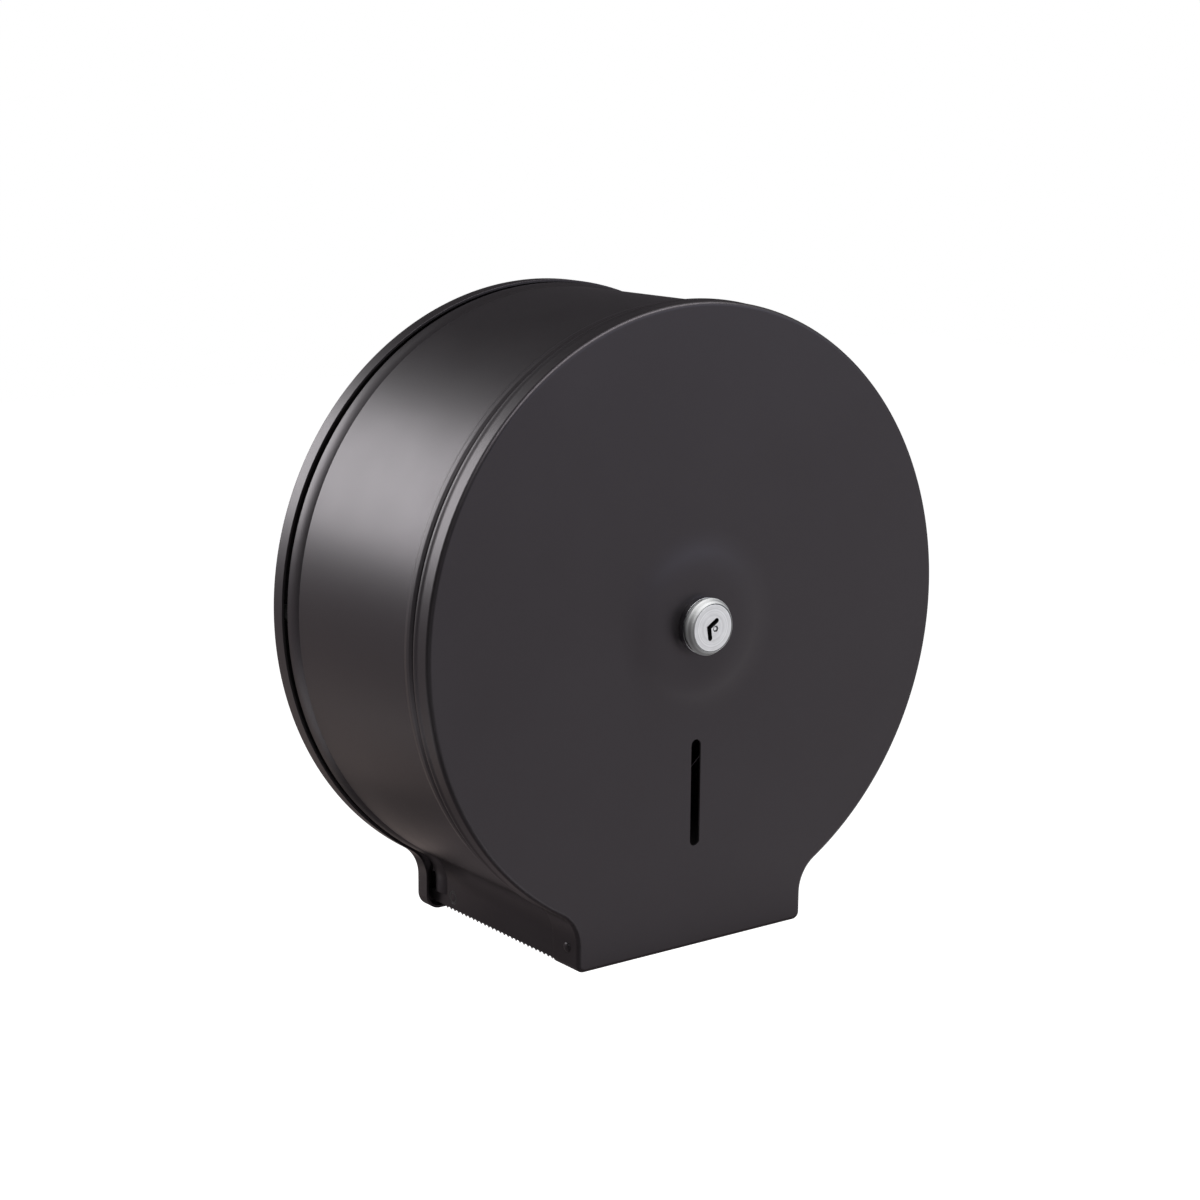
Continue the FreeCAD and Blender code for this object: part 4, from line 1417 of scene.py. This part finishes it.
@dataclass
class RollSpindle:
    """The spindle on the back plate, the hub that turns on it and the keeper at its end."""

    base: float = 1.2
    flange_front: float = 4.2
    flange: float = 30.0
    spigot_height: float = 12.0
    spigot_play: float = 0.02
    tube: float = 16.0
    tube_wall: float = 1.5
    tube_front: float = 87.5
    front_wall: float = 2.5
    spacer: float = 20.45
    spacer_front: float = 7.2
    hub_rear: float = 7.5
    hub_front: float = 87.2
    hub_bore: float = 16.05
    hub_wall: float = 3.0
    hub_flange: float = 34.0
    hub_flange_height: float = 2.0
    rib_count: int = 8
    rib_radius: float = 21.5
    rib_width: float = 2.5
    rib_gap: float = 0.2
    retainer: float = 19.0
    retainer_front: float = 89.0
    keeper_front: float = 90.5
    keeper_edge: float = 0.2
    screw: float = 2.0
    screw_z: float = 8.0
    screw_head: float = 2.8
    screw_head_front: float = 92.3
    slot_half: float = 0.5
    slot_depth: float = 0.9
    slot_reach: float = 4.0
    slot_front: float = 94.0
    rivet_head: float = 3.2
    rivet_rise: float = 1.4

    def build(self) -> None:
        """Builds and dresses the spindle and the hub."""
        self.rings()
        self.rivets()
        keeper = shaded(eased(copied("lock_keeper", "lock_keeper_bent"), self.keeper_edge))
        carried(keeper, Body.BACK, ZINC_STEEL, "lock_keeper")
        self.screws()
        self.hub()

    def rings(self) -> None:
        """Makes the riveted flange with its spigot, the tube on it, the spacer and the retainer."""
        inside, wall = self.tube - self.tube_wall, self.tube_front - self.front_wall
        spigot, end = inside - self.spigot_play, self.flange_front + self.spigot_height
        flange = stepped(0.0, self.base, (self.flange, self.flange_front), (spigot, end))
        tube = stepped(inside, self.flange_front, (self.tube, self.tube_front), (0.0, wall))
        spacer = stepped(self.hub_bore, self.flange_front, (self.spacer, self.spacer_front))
        retainer = stepped(0.0, self.tube_front, (self.retainer, self.retainer_front))
        for node, way, profile, round_off, count, finish in (
            ("spindle_flange", "disc", flange, 0.5, Facets.HUB, ZINC_STEEL),
            ("spindle_tube", "drawn", tube, 0.3, Facets.RING, ZINC_STEEL),
            ("hub_spacer", "ring", spacer, 0.3, Facets.RING, WHITE_NYLON),
            ("hub_retainer", "disc", retainer, 0.3, Facets.RING, ZINC_STEEL),
        ):
            ring = turned(f"{node}_{way}", profile, round_off, Axle(), count)
            carried(ring, Body.BACK, finish, node)

    def rivets(self) -> None:
        """Makes the rivets of the flange."""
        front = self.flange_front
        tree = StudRow("flange_rivets", self.rivet_head, self.rivet_rise, SPINDLE_RIVET, front, ZINC_STEEL)
        places = [(Vector((x, -front, z)) * MM, FRONT) for x, z in SPINDLE_RIVETS]
        carried(tree.piece(places), Body.BACK, ZINC_STEEL, "spindle_rivets")

    def screws(self) -> None:
        """Makes the two slotted keeper screws."""
        sketch, tool = Sketch(), Sketch()
        end, head = self.tube_front - self.front_wall, self.screw_head_front
        profile = stepped(0.0, end, (self.screw, self.keeper_front), (self.screw_head, head))
        for z in (self.screw_z, -self.screw_z):
            sketch.lathe(softened(profile, [0.0, 0.2, 0.0, 0.1, 0.5, 0.0], 4), Axle(z=z), Facets.SMALL)
            low = (-self.slot_reach, head - self.slot_depth, z - self.slot_half)
            tool.block(low, (self.slot_reach, self.slot_front, z + self.slot_half))
        screws = shaded(cut(sketch.piece("keeper_screws_slotted"), tool.piece("slot_cutter")), 40.0)
        carried(screws, Body.BACK, ZINC_STEEL, "keeper_screws")

    def hub(self) -> None:
        """Makes the turning hub with its rear flange and long ribs."""
        outside, step = self.hub_bore + self.hub_wall, self.hub_rear + self.hub_flange_height
        profile = stepped(self.hub_bore, self.hub_rear, (self.hub_flange, step), (outside, self.hub_front))
        sketch = Sketch()
        sketch.lathe(softened(profile, [0.3, 0.6, 0.6, 1.2, 0.5, 0.3], 4), Axle(), Facets.HUB)
        inner = self.hub_bore + self.hub_wall / 2
        height = self.rib_radius - inner
        length = self.hub_front - self.hub_rear - 2 * self.rib_gap
        sizes = (inner + height / 2, height, self.rib_width, length, self.hub_rear + self.rib_gap)
        ring = RibRing(self.rib_count, *(size * MM for size in sizes))
        hub = shaded(eased(ring.run(sketch.piece("roll_hub_ribbed")), 0.35, 3, 60.0), 55.0)
        carried(hub, Body.HUB, GREY_PLASTIC, "roll_hub")


@dataclass
class LockSet:
    """The lock in the middle of the face: collar, bevelled head, plug, nut and cam."""

    seat: float = 122.0
    sheet: float = 1.0
    neck_rear: float = 125.0
    head_rear: float = 126.4
    bevel_rear: float = 127.3
    head_front: float = 129.995
    collar: float = 12.1
    neck: float = 11.2
    head: float = 12.25
    bevel_front: float = 10.45
    thread: float = 8.0
    thread_rise: float = 0.5
    thread_pitch: float = 1.0
    thread_start: float = 0.8
    thread_rest: float = 2.4
    shoulder: Flat = (1.2, 0.8)
    rear: float = 97.3
    plug_face: float = 10.0
    plug_gap: float = 0.3
    plug_face_height: float = 2.5
    plug: float = 5.5
    plug_play: float = 0.05
    plug_recess: float = 0.1
    keyway: tuple[Flat, ...] = ((1.95, 2.99), (-2.14, 0.33), (-1.45, -4.275))
    keyway_half: float = 1.1
    keyway_depth: float = 8.0
    keyway_near: float = 0.5
    keyway_play: float = 0.02
    keyway_floor_play: float = 0.05
    keyway_rim: float = 0.2
    ward_pin: float = 1.4
    ward_ring: float = 0.65
    ward_place: Flat = (1.4, -0.5)
    ward_sunk: float = 0.4
    ward_depth: float = 2.0
    cut_over: float = 1.0
    cam_front: float = 97.0
    cam_rear: float = 95.0
    cam_edge: float = 0.2
    cam_washer: float = 5.0
    cam_washer_bore: float = 2.1
    cam_washer_height: float = 0.6
    cam_screw: float = 2.0
    cam_screw_head: float = 4.0
    cam_screw_head_height: float = 1.8
    cam_screw_reach: float = 8.0
    slot_half: float = 0.5
    slot_depth: float = 0.9
    slot_reach: float = 6.0
    tail: float = 2.5
    tail_lap: float = 0.5
    washer: float = 11.5
    nut_front: float = 119.8

    def build(self) -> None:
        """Builds and dresses the lock."""
        axle = Axle()
        self.body()
        collar = stepped(LOCK_HOLE, self.seat, (self.collar, self.neck_rear))
        collar_made = turned("lock_collar_polished", collar, 0.2, axle, Facets.PLUG)
        carried(collar_made, Body.COVER, BRIGHT_TRIM, "lock_trim_ring")
        washer = stepped(LOCK_HOLE, self.nut_front, (self.washer, self.seat - self.sheet))
        carried(turned("lock_washer_flat", washer, 0.15, axle), Body.COVER, ZINC_STEEL, "lock_washer")
        nut = shaded(eased(copied("lock_nut", "lock_nut_hexagon"), 0.5, 3, 50.0), 55.0)
        carried(nut, Body.COVER, ZINC_STEEL, "lock_nut")
        self.turning_plug()
        cam = shaded(eased(copied("lock_cam", "lock_cam_stamped"), self.cam_edge))
        carried(cam, Body.LOCK, ZINC_STEEL, "lock_cam")
        start = self.cam_rear - self.cam_washer_height
        ring = stepped(self.cam_washer_bore, start, (self.cam_washer, self.cam_rear))
        cam_washer = turned("cam_washer_flat", ring, 0.1, axle, Facets.SCREW)
        carried(cam_washer, Body.LOCK, ZINC_STEEL, "cam_washer")
        self.slotted_screw()

    def body(self) -> None:
        """Makes the bevelled head on its neck, and the threaded barrel."""
        bore, face_bore = self.plug + self.plug_play, self.plug_face + self.plug_gap
        foot = self.thread - self.thread_rise
        floor = self.head_front - self.plug_face_height
        profile = [
            (foot, self.rear), (foot, self.neck_rear - self.shoulder[0]),
            (self.thread, self.neck_rear - self.shoulder[1]), (self.thread, self.neck_rear),
            (self.neck, self.neck_rear), (self.neck, self.head_rear), (self.head, self.head_rear),
            (self.head, self.bevel_rear), (self.bevel_front, self.head_front),
            (face_bore, self.head_front), (face_bore, floor), (bore, floor), (bore, self.rear),
        ]
        rounds = [0.2, 0.1, 0.1, 0.0, 0.0, 0.1, 0.2, 0.3, 0.12, 0.05, 0.0, 0.1, 0.1]
        sketch = Sketch()
        sketch.lathe(softened(profile, rounds, 4), Axle(), Facets.HEAD)
        length, start = self.seat - self.rear - self.thread_rest, self.rear + self.thread_start
        sizes = (foot, self.thread_rise, self.thread_pitch, length, start)
        winding = ScrewThread(*(size * MM for size in sizes))
        head = shaded(winding.run(sketch.piece("lock_head_turned")), 40.0)
        carried(head, Body.COVER, SHADED_HEAD_METAL, "lock_body")

    def keyway_loop(self) -> list[Flat]:
        """Outline of the bent keyway, with round ends.

        Returns:
            Its points as x and z.
        """
        (ax, az), (bx, bz), (cx, cz) = self.keyway
        start, end = math.atan2(bz - az, bx - ax), math.atan2(cz - bz, cx - bx)
        bend = (end - start + math.pi) % FULL_TURN - math.pi
        miter, middle = self.keyway_half / math.cos(bend / 2), start + bend / 2
        x, z = miter * math.sin(middle), miter * math.cos(middle)
        first = arc(ax, az, self.keyway_half, start + math.pi / 2, math.pi, ROUND_STEPS)
        last = arc(cx, cz, self.keyway_half, end - math.pi / 2, math.pi, ROUND_STEPS)
        return [*first, (bx + x, bz - z), *last, (bx - x, bz + z)]

    def in_keyway(self, x: float, z: float) -> bool:
        """Tells whether a place across the plug is in the keyway or on its wall.

        Args:
            x: the place across.
            z: the place's height.

        Returns:
            True for a place of the keyway.
        """
        loop = self.keyway_loop()
        near = min(math.hypot(x - a, z - b) for a, b in loop) < self.keyway_near
        if near or encloses(loop, x, z):
            return True
        play = self.keyway_play
        for (x1, z1), (x2, z2) in zip(loop, loop[1:] + loop[:1]):
            off = abs((x - x1) * (z2 - z1) - (z - z1) * (x2 - x1))
            across = min(x1, x2) - play <= x <= max(x1, x2) + play
            high = min(z1, z2) - play <= z <= max(z1, z2) + play
            if across and high and off < play * math.hypot(x2 - x1, z2 - z1):
                return True
        return False

    def turning_plug(self) -> None:
        """Makes the plug with its ward pin, square tail and keyway, whose inside is painted dark as shade."""
        front = self.head_front - self.plug_recess
        rear = self.head_front - self.plug_face_height + self.plug_recess
        floor = self.head_front - self.keyway_depth
        profile = stepped(0.0, front, (self.plug_face, rear), (self.plug, self.cam_front))
        sketch, slot, tail, pin = Sketch(), Sketch(), Sketch(), Sketch()
        sketch.lathe(softened(profile, [0.0, 0.12, 0.0, 0.1, 0.1, 0.0], 3), Axle(), Facets.PLUG)
        plug = sketch.piece("lock_plug_turned")
        slot.prism(self.keyway_loop(), [], floor, self.head_front + self.cut_over)
        cut(plug, slot.piece("keyway_cutter"))
        tail_front = self.cam_front + self.tail_lap
        tail.block((-self.tail, self.cam_rear, -self.tail), (self.tail, tail_front, self.tail))
        cut(plug, tail.piece("plug_tail"), "UNION")
        inner, top = self.ward_pin - self.ward_ring, front + self.cut_over
        sunk, deep = front - self.ward_sunk, front - self.ward_depth
        groove = stepped(0.0, sunk, (inner, deep), (self.ward_pin, top))
        pin.lathe(groove, Axle(self.ward_place[0], 0.0, self.ward_place[1]), Facets.RIVET)
        cut(plug, pin.piece("pin_cutter"))
        # Faces inside the keyway take the dark finish, which is painted shade.
        plug.data.materials.clear()
        for finish in (LOCK_METAL, KEYWAY_SHADE_PAINT):
            plug.data.materials.append(finish.material())
        for face in plug.data.polygons:
            spot = face.center / MM
            under = floor - self.keyway_floor_play < -spot.y < front - self.keyway_play
            central = math.hypot(spot.x, spot.z) < self.plug_face - self.keyway_rim
            face.material_index = int(under and central and self.in_keyway(spot.x, spot.z))
        carried(shaded(plug, 40.0), Body.LOCK, LOCK_METAL, "lock_plug")

    def slotted_screw(self) -> None:
        """Makes the slotted screw that holds the cam."""
        top = self.cam_rear - self.cam_washer_height
        end, tip = top - self.cam_screw_head_height, self.cam_rear + self.cam_screw_reach
        profile = stepped(0.0, end, (self.cam_screw_head, top), (self.cam_screw, tip))
        sketch, tool = Sketch(), Sketch()
        sketch.lathe(softened(profile, [0.0, 0.5, 0.1, 0.0, 0.3, 0.0], 4), Axle(), Facets.SCREW)
        low = (-self.slot_reach, end - self.cut_over, -self.slot_half)
        tool.block(low, (self.slot_reach, end + self.slot_depth, self.slot_half))
        screw = shaded(cut(sketch.piece("cam_screw_slotted"), tool.piece("cam_slot_cutter")), 40.0)
        carried(screw, Body.LOCK, ZINC_STEEL, "cam_screw")


@dataclass(frozen=True)
class Stand:
    """Something in the studio that faces a centre, with its distance and size in metres."""

    name: str
    way: Triple
    distance: float
    size: Flat
    centre: Triple = field(default=(0.0, -0.06, 0.0), kw_only=True)

    def matrix(self) -> Matrix:
        """Its place, turned to face the centre.

        Returns:
            The matrix from its own axes to the frame.
        """
        out = Vector(self.way).normalized()
        place = Vector(self.centre) + out * self.distance
        return Matrix.Translation(place) @ out.to_track_quat("Z", "Y").to_matrix().to_4x4()


@dataclass(frozen=True)
class Softbox(Stand):
    """A soft lamp with its power in watts."""

    power: float


@dataclass(frozen=True)
class Card(Stand):
    """A studio card that only reflections see, with its brightness."""

    colour: Triple


@dataclass
class Studio:
    """Camera, lamps, cards, floor and surround."""

    azimuth: float = -36.86
    elevation: float = 12.01
    roll: float = 0.47
    distance: float = 1.01911
    look_at: Triple = (-0.05168, -0.11982, 0.01648)
    lens: float = 74.944
    sensor: float = 36.0
    clip: Flat = (0.05, 50.0)
    floor_drop: float = -0.75
    floor_half: float = 6000.0
    floor_grey: float = 0.90
    floor_glow: float = 0.62
    ambient: float = 0.45
    lamps: tuple[Softbox, ...] = (
        Softbox("left_rear_softbox", (-0.52, 0.77, 0.38), 1.5, (0.8, 0.75), 12.5),
        Softbox("overhead_softbox", (0.05, -0.40, 0.90), 1.5, (2.2, 0.5), 26.0),
    )
    cards: tuple[Card, ...] = (
        Card("rear_flag", (0.66, 0.72, 0.22), 1.3, (2.4, 2.4), (0.06, 0.055, 0.062)),
        Card("top_flag", (-0.15, 0.30, 0.94), 1.75, (2.2, 1.0), (0.07, 0.062, 0.072)),
        Card("left_flag", (-0.99, 0.03, 0.0), 1.5, (2.8, 2.6), (0.02, 0.02, 0.022)),
        Card("front_flag", (-0.28, -0.96, 0.0), 1.9, (1.6, 2.6), (0.02, 0.02, 0.022)),
        Card("right_flag", (0.95, -0.25, -0.15), 1.6, (1.2, 2.0), (0.45, 0.42, 0.45)),
        Card("low_rear_flag", (-0.587, 0.78, -0.22), 1.3, (1.5, 0.62), (0.38, 0.33, 0.355)),
        Card("low_bounce", (0.15, 0.78, -0.60), 0.85, (1.5, 0.9), (0.40, 0.33, 0.31)),
        # Dark card under the object that stands in for its shadow on a table, seen only in reflections:
        # painted shadow.
        Card(
            "under_flag", (0.0, 0.02, -1.0), 0.16, (0.40, 0.18), (0.20, 0.17, 0.175),
            centre=(-0.10, -0.07, 0.0),
        ),
        Card("deep_flag", (-0.25, 0.22, -0.94), 0.5, (0.70, 0.50), (0.07, 0.062, 0.066)),
        Card("low_left_flag", (-0.50, -0.45, -0.74), 0.9, (1.0, 0.8), (0.10, 0.09, 0.095)),
        Card("right_fill", (0.60, -0.72, -0.60), 1.3, (2.2, 1.9), (0.82, 0.79, 0.805)),
        Card("upper_fill", (0.58, -0.76, 0.30), 1.7, (2.0, 0.75), (1.5, 1.6, 1.85)),
    )

    def build(self) -> None:
        """Sets up the whole studio."""
        self.camera()
        self.surround()
        self.floor()
        for lamp in self.lamps:
            self.softbox(lamp)
        for card in self.cards:
            self.card(card)
        bpy.context.scene.view_settings.view_transform = "Standard"

    def camera(self) -> None:
        """Puts the camera where the photograph was taken from."""
        a, e = math.radians(self.azimuth), math.radians(self.elevation)
        back = Vector((math.sin(a) * math.cos(e), -math.cos(a) * math.cos(e), math.sin(e)))
        right = Matrix.Rotation(math.radians(self.roll), 3, back) @ UP.cross(back).normalized()
        up = back.cross(right)
        spot = Vector(self.look_at) + back * self.distance
        data = bpy.data.cameras.new("camera")
        data.lens = self.lens
        data.sensor_width = self.sensor
        data.clip_start, data.clip_end = self.clip
        made = linked("camera", data)
        rows = [[right[i], up[i], back[i], spot[i]] for i in range(3)]
        made.matrix_world = Matrix([*rows, [0.0, 0.0, 0.0, 1.0]])
        bpy.context.scene.camera = made

    def seen(self, nodes: Nodes) -> Socket:
        """Adds a test for rays that show the background.

        Args:
            nodes: the tree that asks.

        Returns:
            One for rays from the camera, off gloss or through glass.
        """
        path = nodes.add("ShaderNodeLightPath").outputs
        shown = nodes.sum("MAXIMUM", path["Is Camera Ray"], path["Is Glossy Ray"])
        return nodes.sum("MAXIMUM", shown, path["Is Transmission Ray"])

    def surround(self) -> None:
        """Sets a white surround that lights the object at a plain level."""
        world = bpy.data.worlds.new("studio")
        bpy.context.scene.world = world
        world.use_nodes = True
        world.node_tree.nodes.clear()
        nodes = Nodes(world.node_tree)
        levels = {"Value": self.seen(nodes), "To Min": self.ambient, "To Max": 1.0}
        level = nodes.out("ShaderNodeMapRange", levels, "Result")
        light = nodes.out("ShaderNodeBackground", {"Color": WHITE, "Strength": level})
        nodes.add("ShaderNodeOutputWorld", {"Surface": light})

    def floor(self) -> None:
        """Lays a plain pale floor, far below the object as it hangs on its wall."""
        sketch = Sketch()
        ends = (-self.floor_half, self.floor_half)
        drop = self.floor_drop / MM
        sketch.sheet([[Vector((x, y, drop)) * MM for x in ends] for y in ends])
        made = sketch.piece("floor", UP)
        material, nodes = blank_material("pale_floor")
        glow = nodes.sum("MULTIPLY", self.seen(nodes), self.floor_glow)
        light = nodes.out("ShaderNodeEmission", {"Color": WHITE, "Strength": glow})
        paint = nodes.out("ShaderNodeBsdfDiffuse", {"Color": (*[self.floor_grey] * 3, 1.0)})
        both = nodes.out("ShaderNodeAddShader", {0: light, 1: paint})
        nodes.add("ShaderNodeOutputMaterial", {"Surface": both})
        made.data.materials.append(material)

    def softbox(self, lamp: Softbox) -> None:
        """Adds one soft lamp.

        Args:
            lamp: the lamp.
        """
        data = bpy.data.lights.new(lamp.name, "AREA")
        data.shape = "RECTANGLE"
        data.size, data.size_y = lamp.size
        data.energy = lamp.power
        made = linked(lamp.name, data)
        made.matrix_world = lamp.matrix()
        made.visible_camera = False

    def card(self, card: Card) -> None:
        """Adds one card, seen by reflections only.

        Args:
            card: the card.
        """
        sketch = Sketch()
        width, height = card.size[0] / 2, card.size[1] / 2
        sketch.sheet([[Vector((x, y, 0.0)) for x in (-width, width)] for y in (-height, height)])
        made = sketch.piece(card.name, UP)
        made.data.transform(card.matrix())
        material, nodes = blank_material(card.name)
        light = nodes.out("ShaderNodeEmission", {"Color": (*card.colour, 1.0)})
        nodes.add("ShaderNodeOutputMaterial", {"Surface": light})
        made.data.materials.append(material)
        for ray in ("camera", "diffuse", "shadow", "transmission"):
            setattr(made, f"visible_{ray}", False)


def main() -> None:
    """Builds the dispenser piece by piece, then the studio round it."""
    logging.basicConfig(level=logging.INFO, format="%(name)s: %(message)s")
    for old in list(bpy.data.objects):
        bpy.data.objects.remove(old)
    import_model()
    for assembly in (BackPan(), RollSpindle(), CoverShell(), LockSet()):
        assembly.build()
        log.info("%s is built", type(assembly).__name__)
    Studio().build()


if __name__ == "__main__":
    main()
